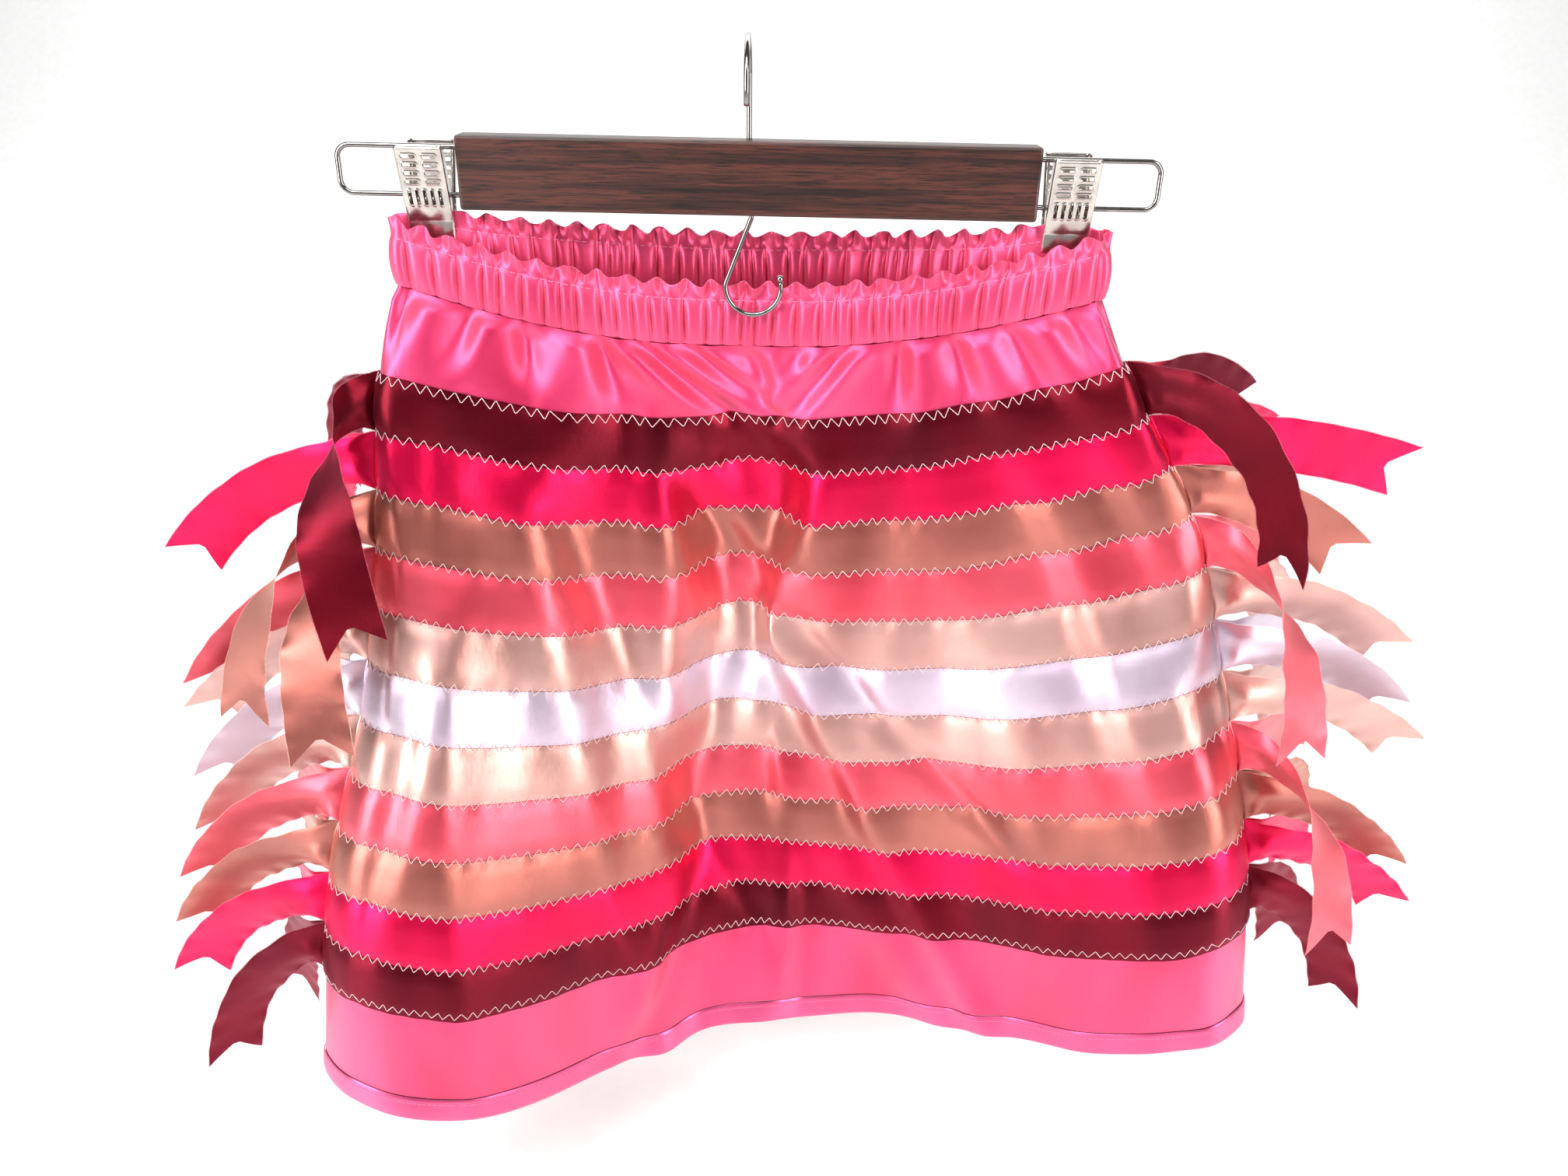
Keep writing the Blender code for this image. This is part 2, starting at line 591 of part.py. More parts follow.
def build_wires(frame):
    chrome = material("chrome", CHROME, 0.15, 1.0)
    right, forward, up = Vector((1, 0, 0)), Vector((0, -1, 0)), Vector((0, 0, 1))
    for side, name in ((-1, "left"), (1, "right")):
        reach = HANGER_WIDTH / 2 - WIRE / 2
        inside = side * (BAR_LENGTH / 2 - WIRE_BURIED)
        path = [Vector((inside, 0, WIRE_RISE))]
        for sign, start, end in ((1, 90, 0), (-1, 0, -90)):
            centre = Vector((side * (reach - LOOP_CORNER), 0, sign * (WIRE_RISE - LOOP_CORNER)))
            path += arc(centre, LOOP_CORNER, start, end, 4, right * side, up)
        path.append(Vector((inside, 0, -WIRE_RISE)))
        mesh_object("wire_loop_" + name, *sweep(path, WIRE / 2, 10), chrome, frame)

    shank = [Vector((0, 0, BAR_HEIGHT / 2 - WIRE_BURIED))]
    crook = Vector((0, 0, CROOK_HEIGHT)) + forward * CROOK_RADIUS
    path = shank + arc(crook, CROOK_RADIUS, 180, 180 - CROOK_END, 16, forward, up)
    mesh_object("top_hook", *sweep(path, WIRE / 2, 10), chrome, frame)

    start = Vector((J_TOP_X, 0, -BAR_HEIGHT / 2 + WIRE_BURIED))
    bowl = Vector((J_BOWL_X, 0, J_BOWL_Z))
    path = [start, Vector((J_TOP_X, 0, -BAR_HEIGHT / 2 - 1.5))]
    path += arc(bowl, J_RADIUS, -188, 10, 14, right, up)
    mesh_object("lower_hook", *sweep(path, WIRE / 2, 10, ball=J_BALL), chrome, frame)


def build_bar(frame):
    """Wooden bar with blind bores for the wires."""
    walnut = material("walnut", WALNUT, 0.4)
    corners = [Vector((x, y, z)) for x in (-BAR_LENGTH / 2, BAR_LENGTH / 2)
               for y in (-BAR_DEPTH / 2, BAR_DEPTH / 2) for z in (-BAR_HEIGHT / 2, BAR_HEIGHT / 2)]
    faces = [(0, 1, 3, 2), (4, 6, 7, 5), (0, 4, 5, 1), (2, 3, 7, 6), (0, 2, 6, 4), (1, 5, 7, 3)]
    bar = mesh_object("wood_bar", corners, faces, walnut, frame, 30.0)
    rounding = bar.modifiers.new("rounded_edges", "BEVEL")
    rounding.width = BAR_EDGE * MM
    rounding.segments = 2
    depth = WIRE_BURIED + GAP
    bores = [(Vector((side * (BAR_LENGTH / 2 + 2), 0, sign * WIRE_RISE)), Vector((-side, 0, 0)))
             for side in (-1, 1) for sign in (-1, 1)]
    bores += [(Vector((0, 0, BAR_HEIGHT / 2 + 2)), Vector((0, 0, -1))),
              (Vector((J_TOP_X, 0, -BAR_HEIGHT / 2 - 2)), Vector((0, 0, 1)))]
    for number, (mouth, inwards) in enumerate(bores):
        points, faces = sweep([mouth, mouth + inwards * (depth + 2)], WIRE / 2 + GAP, 12)
        cutter = mesh_object(f"bore_{number + 1}", points, faces, walnut, frame)
        cutter.hide_render = True
        cutter.display_type = "WIRE"
        cut = bar.modifiers.new(f"bore_{number + 1}", "BOOLEAN")
        cut.operation = "DIFFERENCE"
        cut.solver = "EXACT"
        cut.object = cutter
    return bar


def clip_grid(centre, facing):
    """Points and normals of a pressed clip plate with folded sides, and its slot cells."""
    half = CLIP_WIDTH / 2
    xs = [-half, -6.9, -1.3, 1.3, 6.9, half]
    columns = []
    for x in [xs[0]] + xs + [xs[-1]]:
        columns.append([Vector((centre + x, facing * away, height)) for height, away in CLIP_PROFILE])
    for edge in (0, -1):
        for row, (height, away) in enumerate(CLIP_PROFILE):
            fold = min(CLIP_FLANGE, away - CLIP_FLANGE_GAP) if height > CLIP_FLANGE_FOOT else 0.5
            columns[edge][row] = columns[edge][row] + Vector((0, -facing * max(fold, 0.5), 0))
    normals = grid_normals(columns, facing)
    slots = {(i, j) for i in (2, 4) for j in CLIP_SLOT_ROWS}
    foot = {(i, j) for i in (0, len(columns) - 2)
            for j, (height, _) in enumerate(CLIP_PROFILE[1:]) if height < CLIP_FLANGE_FOOT}
    return columns, normals, slots | foot


def build_clips(frame):
    steel = material("clip_steel", CHROME, 0.25, 1.0)
    for side, name in ((-1, "left"), (1, "right")):
        for facing, layer in ((-1, "front"), (1, "back")):
            columns, normals, gaps = clip_grid(side * CLIP_X, facing)
            points, faces = slab(columns, normals, -CLIP_SHEET / 2, CLIP_SHEET / 2, gaps)
            mesh_object(f"clip_{name}_{layer}", points, faces, steel, frame, 30.0)
        ring = []
        for end in (-1, 1):
            for radius in (SPRING_OUTER, WIRE / 2 + GAP):
                ring.append([Vector((side * CLIP_X + end * SPRING_LENGTH / 2,
                                     radius * math.cos(math.tau * n / 12),
                                     -WIRE_RISE + radius * math.sin(math.tau * n / 12)))
                             for n in range(12)])
        points = [point for loop in (ring[0], ring[2], ring[3], ring[1]) for point in loop]
        faces = [(k * 12 + n, k * 12 + (n + 1) % 12, (k + 1) % 4 * 12 + (n + 1) % 12,
                  (k + 1) % 4 * 12 + n) for k in range(4) for n in range(12)]
        mesh_object("clip_spring_" + name, points, faces, steel, frame)


def build_all():
    clear_scene()
    frame = bar_frame()
    build_bar(frame)
    build_wires(frame)
    build_clips(frame)
    build_skirt(frame)


build_all()
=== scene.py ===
"""Looks of a child's ribbon skirt hanging from a wood-and-wire clip hanger.

The cloth is a set of thin shells on the same form as the solids: panels, ribbons with free tails,
a gathered waistband and a hem band, with creases, gathers and puckers laid over that form. Lengths
in the tables are millimetres in the bar's frame: the middle of the wooden bar is its origin, +X is
to the right, -Y out of the skirt's front and +Z up. "down" is a distance down the cloth from the
waist seam, and "share" a share of a panel's width from its left seam.
"""

import math
from collections import namedtuple

import bpy
import numpy as np
from mathutils import Matrix, Vector

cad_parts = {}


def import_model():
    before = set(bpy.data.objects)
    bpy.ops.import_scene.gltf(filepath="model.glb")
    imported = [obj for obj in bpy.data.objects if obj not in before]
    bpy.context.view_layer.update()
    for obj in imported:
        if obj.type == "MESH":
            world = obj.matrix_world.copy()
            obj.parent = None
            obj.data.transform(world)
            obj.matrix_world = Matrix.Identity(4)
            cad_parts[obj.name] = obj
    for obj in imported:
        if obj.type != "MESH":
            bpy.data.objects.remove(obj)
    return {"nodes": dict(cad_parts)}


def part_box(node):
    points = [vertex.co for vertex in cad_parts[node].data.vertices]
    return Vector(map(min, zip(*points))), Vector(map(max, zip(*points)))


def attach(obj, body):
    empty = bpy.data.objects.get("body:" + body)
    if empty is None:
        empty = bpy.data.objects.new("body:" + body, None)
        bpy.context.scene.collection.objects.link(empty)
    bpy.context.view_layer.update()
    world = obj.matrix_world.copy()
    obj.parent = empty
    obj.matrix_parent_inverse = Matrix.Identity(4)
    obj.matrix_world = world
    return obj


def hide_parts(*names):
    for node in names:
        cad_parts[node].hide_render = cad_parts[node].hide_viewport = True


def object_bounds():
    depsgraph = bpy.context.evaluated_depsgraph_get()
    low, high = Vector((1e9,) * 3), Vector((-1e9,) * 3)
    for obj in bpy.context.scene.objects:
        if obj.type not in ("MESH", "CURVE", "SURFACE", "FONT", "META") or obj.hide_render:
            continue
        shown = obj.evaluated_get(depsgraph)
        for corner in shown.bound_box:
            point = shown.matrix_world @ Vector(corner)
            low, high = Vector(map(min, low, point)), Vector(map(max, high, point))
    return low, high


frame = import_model()
CAD_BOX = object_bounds()

MM = 0.001
FLOOR_DROP = 0.06           # metres from the lowest point of the skirt to the floor
CAMERA_PLACE = (0.01756, -0.48828, 0.01472)
CAMERA_LENS = 27.66         # mm, on a 36 mm sensor
CAMERA_TILT = 63.8          # degrees up from straight down
CAMERA_ROLL = 1.25
BAR_LOW, BAR_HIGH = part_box("wood_bar")
BAR_CENTRE = np.array([(a + b) / 2 for a, b in zip(BAR_LOW, BAR_HIGH)])

# ---- sizes of the skirt and the hanger, mm -----------------------------------------------------
RIBBONS = 11
RIBBON_WIDTH = 25.4
RIBBON_PITCH = 25.7
SEAM_PART = 0.5             # how far each panel's edge stops from the side seam
YOKE_LEFT = 37.0            # waist seam down to the first ribbon, at the left and right seams
YOKE_RIGHT = 28.0
HEM_PANEL = 43.0
HEM_BAND = 12.5
NOTCH = 11.0                # depth of the V cut in a tail's end
TAIL_PINCH = 0.2            # how much narrower a tail is where it leaves the seam
BAND_CASING = 19.5
BAND_HEADER = 6.5
BAND_FOOT = 0.6             # how far above the waist seam the casing starts
PANEL_TOP = 302.0           # rough width of a panel at the waist seam
PANEL_FLARE = 0.62          # and how much wider it is for each mm down the cloth
TAIL_ROWS = 44              # rows of points along a tail
TAIL_CUP = 1.9              # hollow across a tail where it leaves the seam
TAIL_CURL = 0.9             # most hollow across it further out
TAIL_CRIMP = 0.8            # creases across it at the seam
TAIL_RUFFLE = 0.55          # waves along its edges
GATHER_GAIN = 1.55          # on the heights in the tables of gathers and of flutes
FLUTE_GAIN = 2.2
FLUTE_SPREAD = 1.45         # on the flutes' widths
PUCKER_REACH = 4.2          # how far a join's puckers run each side of it
PUCKER_HEIGHT = 0.22
JOIN_DIP = 0.25             # how far a join is drawn in
PLEAT_FINEST = 4.6          # narrowest and widest pleat of the waistband
PLEAT_WIDEST = 11.5
HEADER_WAVE = 2.3           # the header's ruffles, in and out
HEADER_RISE = 1.3           # and up and down
WIRE_SIDES = 20
GATHER_FULLNESS = 1.45      # length cut for the waistband over its length when gathered
ZIGZAG_STEP = 2.7           # along the seam from one point of the zigzag to the next
ZIGZAG_REACH = 1.75         # each side of the join
PICOT_STEP = 0.6            # along a tail's edge from one point of its loops to the next
PICOT_REACH = 0.55          # of the loops beyond the edge
PICOT_THREAD = 0.13         # radius of each thread
ZIGZAG_THREAD = 0.18
BAND_THREAD = 0.2
HEM_THREAD = 0.16
WIRE = 2.2
HANGER_WIDTH = 330.0
LOOP_CORNER = 5.0
BAR_LENGTH = 231.0
BAR_HEIGHT = 28.5
WIRE_RISE = 9.2             # of the two runs of a wire loop above and below the middle
WIRE_BURIED = 10.0
CROOK_RADIUS = 16.0
CROOK_HEIGHT = 36.0
CROOK_END = 205.0
J_TOP_X = 1.0
J_BOWL_X = 2.0
J_BOWL_Z = -43.5
J_RADIUS = 11.5
J_BALL = 1.6
CLIP_X = 128.5
CLIP_HALF = 9.3
CLIP_SHEET = 0.8
CLIP_FLANGE = 4.2
CLIP_FLANGE_GAP = 1.9
CLIP_FLANGE_FOOT = -14.0
# Height, and distance from the middle of the clip, down a plate from its rolled top to its jaw.
CLIP_PROFILE = ((10.6, 11.2), (9.4, 12.0), (7.2, 11.2), (5.9, 10.8), (3.9, 10.2), (2.6, 9.8),
                (0.6, 9.2), (-0.7, 8.8), (-2.7, 8.2), (-4.0, 7.8), (-6.5, 7.0), (-13.5, 4.7),
                (-19.0, 2.4), (-26.5, 2.0))
SPRING_OUTER = 3.0
SPRING_LENGTH = 13.0
SPRING_TURNS = 8

# Distances down the cloth from the waist seam at which the tables below are given.
LEVELS = (0.0, 33.0, 110.0, 187.0, 264.0, 371.0)
LEFT_X = (-144.0, -152.0, -160.0, -169.0, -186.0, -200.0)       # left side seam
MIDDLE_X = (2.0, 10.0, 14.0, 16.0, 17.0, 20.0)
RIGHT_X = (146.0, 159.0, 197.0, 219.0, 239.0, 252.0)            # right side seam
SEAM_LEFT = (4.0, 12.0, 24.0, 44.0, 66.0, 80.0)                 # forward of the bar
SEAM_RIGHT = (4.0, 11.0, 15.0, 24.0, 36.0, 46.0)
TURN = (0.014, 0.025, 0.035, 0.045, 0.05, 0.05)                 # width of the turn at a side seam
TURN_SHARE = 0.06

# Fold lines from the left seam (0) to the right seam (1): the height of the waist seam, and how far
# forward of the bar the cloth stands at each level.
Fold = namedtuple("Fold", "across seam waist yoke upper middle lower hem")
FRONT_FOLDS = [Fold(*row) for row in (
    (0.00, -44.0,  8,  18,  32,  58,  84,  96),
    (0.10, -52.5,  8,  14,  32,  64,  92, 112),
    (0.20, -60.0,  6,  14,  22,  44,  75,  99),
    (0.30, -65.6,  2,  -2,   4,  20,  40,  60),
    (0.35, -67.6,  0,   0,   0,  12,  26,  44),
    (0.40, -69.0, -3,  -8, -16,  -8,   8,  29),
    (0.50, -70.0, -6, -12, -20, -19,  -4,  22),
    (0.55, -69.7, -5,  -4,  -6,  -8,  -2,  14),
    (0.60, -68.9, -3,  -2,  -2,   0,   2,  12),
    (0.70, -65.5,  0,   2,   2,   6,  15,  26),
    (0.80, -60.0,  4,   6,   8,  24,  37,  50),
    (0.90, -52.3,  8,  12,  14,  36,  59,  72),
    (1.00, -44.0,  8,  18,  22,  36,  54,  66),
)]
BACK_FOLDS = [Fold(*row) for row in (
    (0.00, -44.0,   0,   5,  12,  24,  40,  52),
    (0.05, -41.5,   0,  -8,  -4,   4,  12,  20),
    (0.14, -44.0,  -1, -20, -22, -20, -16,  -8),
    (0.24, -48.0, -13, -28, -34, -38, -42, -40),
    (0.36, -51.5, -24, -34, -37, -37, -36, -32),
    (0.48, -53.0, -28, -38, -43, -47, -50, -50),
    (0.60, -52.0, -26, -35, -39, -40, -39, -36),
    (0.72, -49.5, -16, -31, -38, -44, -48, -50),
    (0.84, -45.0,  -1, -20, -24, -26, -24, -20),
    (0.95, -41.5,   0,  -8,  -8,  -4,   0,   6),
    (1.00, -44.0,   0,   4,   6,  10,  16,  24),
)]

# Ribbon tails from the top ribbon down, a row each. azimuth: the way it leaves, 0 straight out of
# the seam and + to the front; fan: how much that changes to the tip; lift and droop: its slope at
# the root and the tip; bend: how early it droops, less is earlier; roll: how far it turns on its
# side. Degrees and mm.
Tail = namedtuple("Tail", "azimuth fan lift droop bend roll length")
FRONT_LEFT_TAILS = [Tail(*row) for row in (
    ( 60,  85, -10, -74, 0.50,  75, 118),
    ( -5,  -8,  -8, -52, 1.00,  25, 114),
    ( 62,  55,   4, -80, 0.55,  80, 118),
    ( -5,  -5, -14, -60, 1.00,  40, 114),
    (-12,  -5, -12, -52, 1.00,  45, 112),
    (-12,  -5, -12, -62, 1.00,  45, 112),
    (-12,  -5, -12, -66, 1.00,  45, 110),
    (-12,  -5, -12, -64, 1.00,  40, 112),
    (-12,  -5, -12, -64, 1.00,  40, 108),
    (-12,  -5, -12, -66, 1.00,  35, 108),
    ( -5,   0, -18, -80, 0.70,  45, 104),
)]
BACK_LEFT_TAILS = [Tail(*row) for row in (
    (-55,  -5,  -8, -66, 0.90,  20,  90),
    (-55,  -5,  -8, -66, 0.90,  20, 112),
    ( 20,  62,  14, -80, 0.60,  80, 116),
    (-55,  -5, -12, -66, 0.90,  20, 112),
    (-55,  -5, -12, -60, 0.90,  20, 112),
    (-62,  -5, -12, -64, 0.90,  20, 112),
    (-62,  -5, -12, -64, 0.90,  20, 110),
    (-56,  -5, -12, -64, 0.90,  20, 110),
    (-62,  -5, -12, -64, 0.90,  20, 110),
    (-62,  -5, -12, -66, 0.80,  20, 108),
    (-55,   0, -16, -76, 0.70,  20, 104),
)]
FRONT_RIGHT_TAILS = [Tail(*row) for row in (
    ( 40,  10,  28, -88, 0.75,  15, 112),
    ( -5,   0,   4, -18, 1.00,  10, 114),
    ( -5,   0,   2, -44, 0.90,  15,  90),
    ( 34,  50,   6, -82, 0.60,  78, 116),
    (-12,  -5,   2, -44, 1.00,  35, 112),
    (-12,  -5,   2, -50, 1.00,  35, 112),
    (-12,  -5,   2, -44, 1.00,  35, 114),
    ( 34,  50,   8, -82, 0.60,  78, 112),
    (-12,  -5,  -8, -56, 1.00,  40, 110),
    (-12,  -5,  -4, -54, 0.90,  40, 108),
    ( -5,   5, -10, -80, 0.70,  45, 100),
)]
BACK_RIGHT_TAILS = [Tail(*row) for row in (
    (-42,   0,   8, -34, 0.90,  10,  92),
    (-46,   0,   4, -26, 1.00,  20, 100),
    (-50,   0,   2, -50, 0.90,  25, 108),
    (-50,  -5,   2, -58, 0.90,  30, 112),
    (-50,  -5,   2, -54, 1.00,  30, 112),
    (-50,  -5,   2, -58, 1.00,  30, 112),
    (-50,  -5,   0, -58, 1.00,  30, 110),
    (-50,  -5,   0, -58, 1.00,  30, 110),
    (-50,  -5,  -2, -60, 1.00,  30, 110),
    (-50,  -5,  -4, -62, 0.90,  30, 108),
    (-50,   0, -10, -74, 0.70,  30, 100),
)]

# ---- creases laid over the form ----------------------------------------------------------------
# Gathers that run down from the waistband: where each starts, how it drifts sideways (share per
# 100 mm), how far down it runs, its half width in mm, and its height (a trough is negative).
Gather = namedtuple("Gather", "share drift length width height")
FRONT_GATHERS = [Gather(*row) for row in (
    (0.030, -0.05, 34, 4.5,  1.6), (0.065, -0.08, 44, 4.0, -2.0),
    (0.100, -0.14, 52, 6.5,  3.0), (0.142, -0.10, 30, 3.2, -2.2),
    (0.172, -0.16, 60, 6.0,  2.8), (0.206,  0.02, 26, 3.0, -2.6),
    (0.232, -0.06, 64, 5.0, -1.8), (0.262,  0.05, 58, 7.0,  3.2),
    (0.300,  0.04, 24, 3.0, -2.8), (0.322,  0.28, 56, 4.5,  2.6),
    (0.352,  0.30, 50, 4.0, -2.2), (0.382,  0.26, 52, 4.5,  2.8),
    (0.415,  0.30, 44, 3.5, -2.0), (0.440,  0.22, 46, 4.5,  2.2),
    (0.492,  0.02, 30, 3.5, -1.6), (0.528, -0.04, 38, 4.0,  1.4),
    (0.562, -0.10, 44, 4.5, -1.8), (0.592, -0.28, 50, 5.0,  2.8),
    (0.628, -0.32, 52, 4.0, -2.4), (0.655, -0.34, 56, 5.0,  2.8),
    (0.695, -0.08, 30, 3.2, -2.4), (0.722, -0.04, 62, 6.0,  2.6),
    (0.762,  0.03, 28, 3.0, -2.4), (0.792,  0.06, 56, 6.0,  2.8),
    (0.832,  0.08, 34, 3.5, -2.4), (0.868,  0.12, 58, 5.5,  2.6),
    (0.905,  0.10, 32, 3.5, -2.0), (0.942,  0.06, 46, 4.5,  1.8),
    (0.972,  0.02, 30, 3.5, -1.2),
)]
BACK_GATHERS = [Gather(*row) for row in (
    (0.040,  0.02, 36, 4.5,  1.6), (0.085,  0.04, 48, 5.0, -2.0),
    (0.135,  0.05, 60, 6.5,  2.6), (0.180, -0.03, 30, 3.5, -2.2),
    (0.222, -0.08, 54, 5.5,  2.4), (0.268,  0.02, 26, 3.2, -2.4),
    (0.315,  0.10, 66, 6.0,  2.8), (0.362, -0.02, 34, 3.6, -2.0),
    (0.405,  0.06, 48, 5.0,  2.2), (0.452, -0.05, 40, 4.0, -2.2),
    (0.498,  0.00, 62, 6.0,  2.6), (0.548,  0.04, 28, 3.2, -2.2),
    (0.590, -0.08, 52, 5.2,  2.4), (0.640,  0.03, 44, 4.2, -2.2),
    (0.688,  0.10, 58, 6.2,  2.6), (0.735, -0.02, 30, 3.4, -2.0),
    (0.782,  0.05, 64, 5.6,  2.6), (0.832, -0.04, 36, 3.8, -2.2),
    (0.878,  0.04, 50, 5.4,  2.4), (0.925, -0.02, 34, 4.0, -1.8),
    (0.965,  0.00, 42, 4.4,  1.4),
)]
# Soft flutes through the ribbons: where each starts, its drift, the stretch it runs over, its half
# width and its height.
Flute = namedtuple("Flute", "share drift top foot width height")
FRONT_FLUTES = [Flute(*row) for row in (
    (0.055,  0.004,  40, 330,  9.0,  1.4), (0.115, -0.002,  30, 250,  7.0, -1.3),
    (0.165,  0.006,  45, 385, 10.0,  1.9), (0.225,  0.010,  60, 300,  8.0, -1.5),
    (0.285,  0.012,  35, 380, 11.0,  1.7), (0.335,  0.020,  45, 240,  6.0, -1.4),
    (0.388,  0.010,  24, 350,  7.5,  2.4), (0.455, -0.002,  22, 250, 11.0, -2.6),
    (0.508,  0.000,  60, 330,  6.0,  1.2), (0.540, -0.006,  35, 360,  7.0, -1.5),
    (0.585, -0.008,  30, 310,  7.5,  1.9), (0.640, -0.004,  50, 380,  9.0, -1.3),
    (0.700,  0.004,  60, 385, 12.0,  1.4), (0.762,  0.006,  35, 290,  8.0, -1.4),
    (0.820,  0.004,  45, 385, 10.0,  1.8), (0.872,  0.006,  55, 260,  7.0, -1.4),
    (0.915,  0.002,  35, 370,  8.5,  1.6), (0.962,  0.000,  60, 340,  7.0, -0.9),
)]
BACK_FLUTES = [Flute(*row) for row in (
    (0.060,  0.002,  40, 360,  9.0, -1.2), (0.120,  0.004,  30, 300, 10.0,  1.8),
    (0.190, -0.004,  50, 385,  9.0, -1.5), (0.260,  0.006,  35, 385, 12.0,  2.0),
    (0.330,  0.004,  60, 280,  8.0, -1.6), (0.400, -0.006,  30, 350, 10.0,  1.5),
    (0.465,  0.002,  45, 385,  9.0, -1.4), (0.530,  0.004,  35, 320, 11.0,  1.9),
    (0.600, -0.002,  55, 385,  9.0, -1.6), (0.670,  0.006,  30, 300, 10.0,  1.7),
    (0.735,  0.002,  60, 385,  9.0, -1.4), (0.805,  0.004,  35, 360, 11.0,  2.0),
    (0.870, -0.004,  50, 290,  8.0, -1.4), (0.935,  0.002,  40, 385,  9.0,  1.3),
)]

Layer = namedtuple("Layer", "name facing folds gathers flutes left_tails right_tails seed")
FRONT = Layer("front", -1, FRONT_FOLDS, FRONT_GATHERS, FRONT_FLUTES,
              FRONT_LEFT_TAILS, FRONT_RIGHT_TAILS, 3)
BACK = Layer("back", 1, BACK_FOLDS, BACK_GATHERS, BACK_FLUTES,
             BACK_LEFT_TAILS, BACK_RIGHT_TAILS, 8)


# ---- the form of the cloth ---------------------------------------------------------------------
def ramp(value):
    """Smooth step from 0 to 1."""
    value = np.clip(value, 0.0, 1.0)
    return value * value * (3.0 - 2.0 * value)


def smooth(xs, ys, x):
    """Heights at x of the smooth curve through (xs, ys). ys may hold a column for each x."""
    xs, ys, x = np.asarray(xs, float), np.asarray(ys, float), np.asarray(x, float)
    gaps = np.diff(xs)
    wide = gaps[:, None] if ys.ndim == 2 else gaps
    rises = np.diff(ys, axis=0) / wide
    slopes = np.empty_like(ys)
    slopes[0], slopes[-1] = rises[0], rises[-1]
    slopes[1:-1] = (rises[:-1] * wide[1:] + rises[1:] * wide[:-1]) / (wide[1:] + wide[:-1])
    i = np.clip(np.searchsorted(xs, x, side="right") - 1, 0, len(xs) - 2)
    t = np.clip((x - xs[i]) / gaps[i], 0.0, 1.0)
    column = (np.arange(ys.shape[1]),) if ys.ndim == 2 else ()
    at, after = (i, *column), (i + 1, *column)
    low, high, rise, fall = ys[at], ys[after], slopes[at], slopes[after]
    return ((2 * t**3 - 3 * t**2 + 1) * low + (t**3 - 2 * t**2 + t) * gaps[i] * rise
            + (-2 * t**3 + 3 * t**2) * high + (t**3 - t**2) * gaps[i] * fall)


def fold_values(folds, column, across):
    heights = [getattr(fold, column) for fold in folds]
    return smooth([fold.across for fold in folds], heights, across)


def across_at(share, turn):
    """Where shares of a panel's width lie across the skirt, and how far their turn has opened."""
    edge = np.minimum(share, 1.0 - share)
    angle = math.pi / 2 * np.minimum(edge / TURN_SHARE, 1.0)
    flat = turn + (1.0 - 2.0 * turn) * (edge - TURN_SHARE) / (1.0 - 2.0 * TURN_SHARE)
    across = np.where(edge < TURN_SHARE, turn * (1.0 - np.cos(angle)), flat)
    return np.where(share <= 0.5, across, 1.0 - across), np.sin(angle)


def plan_points(folds, share, down):
    """X and Y of the cloth at shares of its width and distances down it."""
    across, opened = across_at(share, smooth(LEVELS, TURN, down))
    levels = np.array([fold_values(folds, name, across) for name in Fold._fields[2:]])
    reach = smooth(LEVELS, levels, down)
    seam = np.where(share < 0.5, smooth(LEVELS, SEAM_LEFT, down), smooth(LEVELS, SEAM_RIGHT, down))
    left, middle, right = (smooth(LEVELS, row, down) for row in (LEFT_X, MIDDLE_X, RIGHT_X))
    x = np.where(across < 0.5, left + (middle - left) * across * 2.0,
                 middle + (right - middle) * (across * 2.0 - 1.0))
    return x, -(seam + (reach - seam) * opened)


def cloth_grid(folds, share, downs):
    """Points at each row of downs (rows x shares); heights follow from the cloth's length."""
    share = np.asarray(share, float)
    downs = np.broadcast_to(downs, (len(downs), len(share)))
    rows = []
    down = np.zeros_like(share)
    x, y = plan_points(folds, share, down)
    z = fold_values(folds, "seam", across_at(share, TURN[0])[0])
    for target in downs:
        steps = max(1, math.ceil(np.max(np.abs(target - down)) / 6.0 - 1e-6))
        step = (target - down) / steps
        for _ in range(steps):
            down = down + step
            next_x, next_y = plan_points(folds, share, down)
            level = (next_x - x)**2 + (next_y - y)**2
            z = z - np.sign(step) * np.sqrt(np.maximum(step * step - level, 0.05 * step * step))
            x, y = next_x, next_y
        rows.append(np.stack([x, y, z], axis=1))
    return np.array(rows)


def part_at_seams(grid):
    """Draw the first and last columns in a little, so that front and back stay clear."""
    for end, inside in ((0, 1), (-1, -2)):
        way = grid[:, inside] - grid[:, end]
        grid[:, end] += way / np.linalg.norm(way, axis=1, keepdims=True) * SEAM_PART
    return grid


def unit(vectors):
    return vectors / np.maximum(np.linalg.norm(vectors, axis=-1, keepdims=True), 1e-9)


def grid_normals(grid, facing):
    """Unit normals out of the skirt on a grid of rows x shares."""
    return unit(np.cross(np.gradient(grid, axis=1), np.gradient(grid, axis=0)) * facing)


def ribbon_edges(share):
    """Distances down the cloth of the ribbons' edges, then of the hem panel's and hem band's."""
    first = YOKE_LEFT + (YOKE_RIGHT - YOKE_LEFT) * np.asarray(share, float)
    edges = [first + RIBBON_PITCH * k for k in range(RIBBONS + 1)]
    return edges + [edges[-1] + HEM_PANEL, edges[-1] + HEM_PANEL + HEM_BAND]


def panel_width(down):
    return PANEL_TOP + PANEL_FLARE * down


def fine_shares(count):
    """Shares with closer columns round the two side turns."""
    turn = np.linspace(0.0, TURN_SHARE, 13)[:-1]
    middle = np.linspace(TURN_SHARE, 1.0 - TURN_SHARE, count)
    return np.concatenate([turn, middle, 1.0 - turn[::-1]])


def arc_lengths(line):
    """Distance along a line at each of its points."""
    return np.concatenate([[0], np.cumsum(np.linalg.norm(np.diff(line, axis=0), axis=1))])


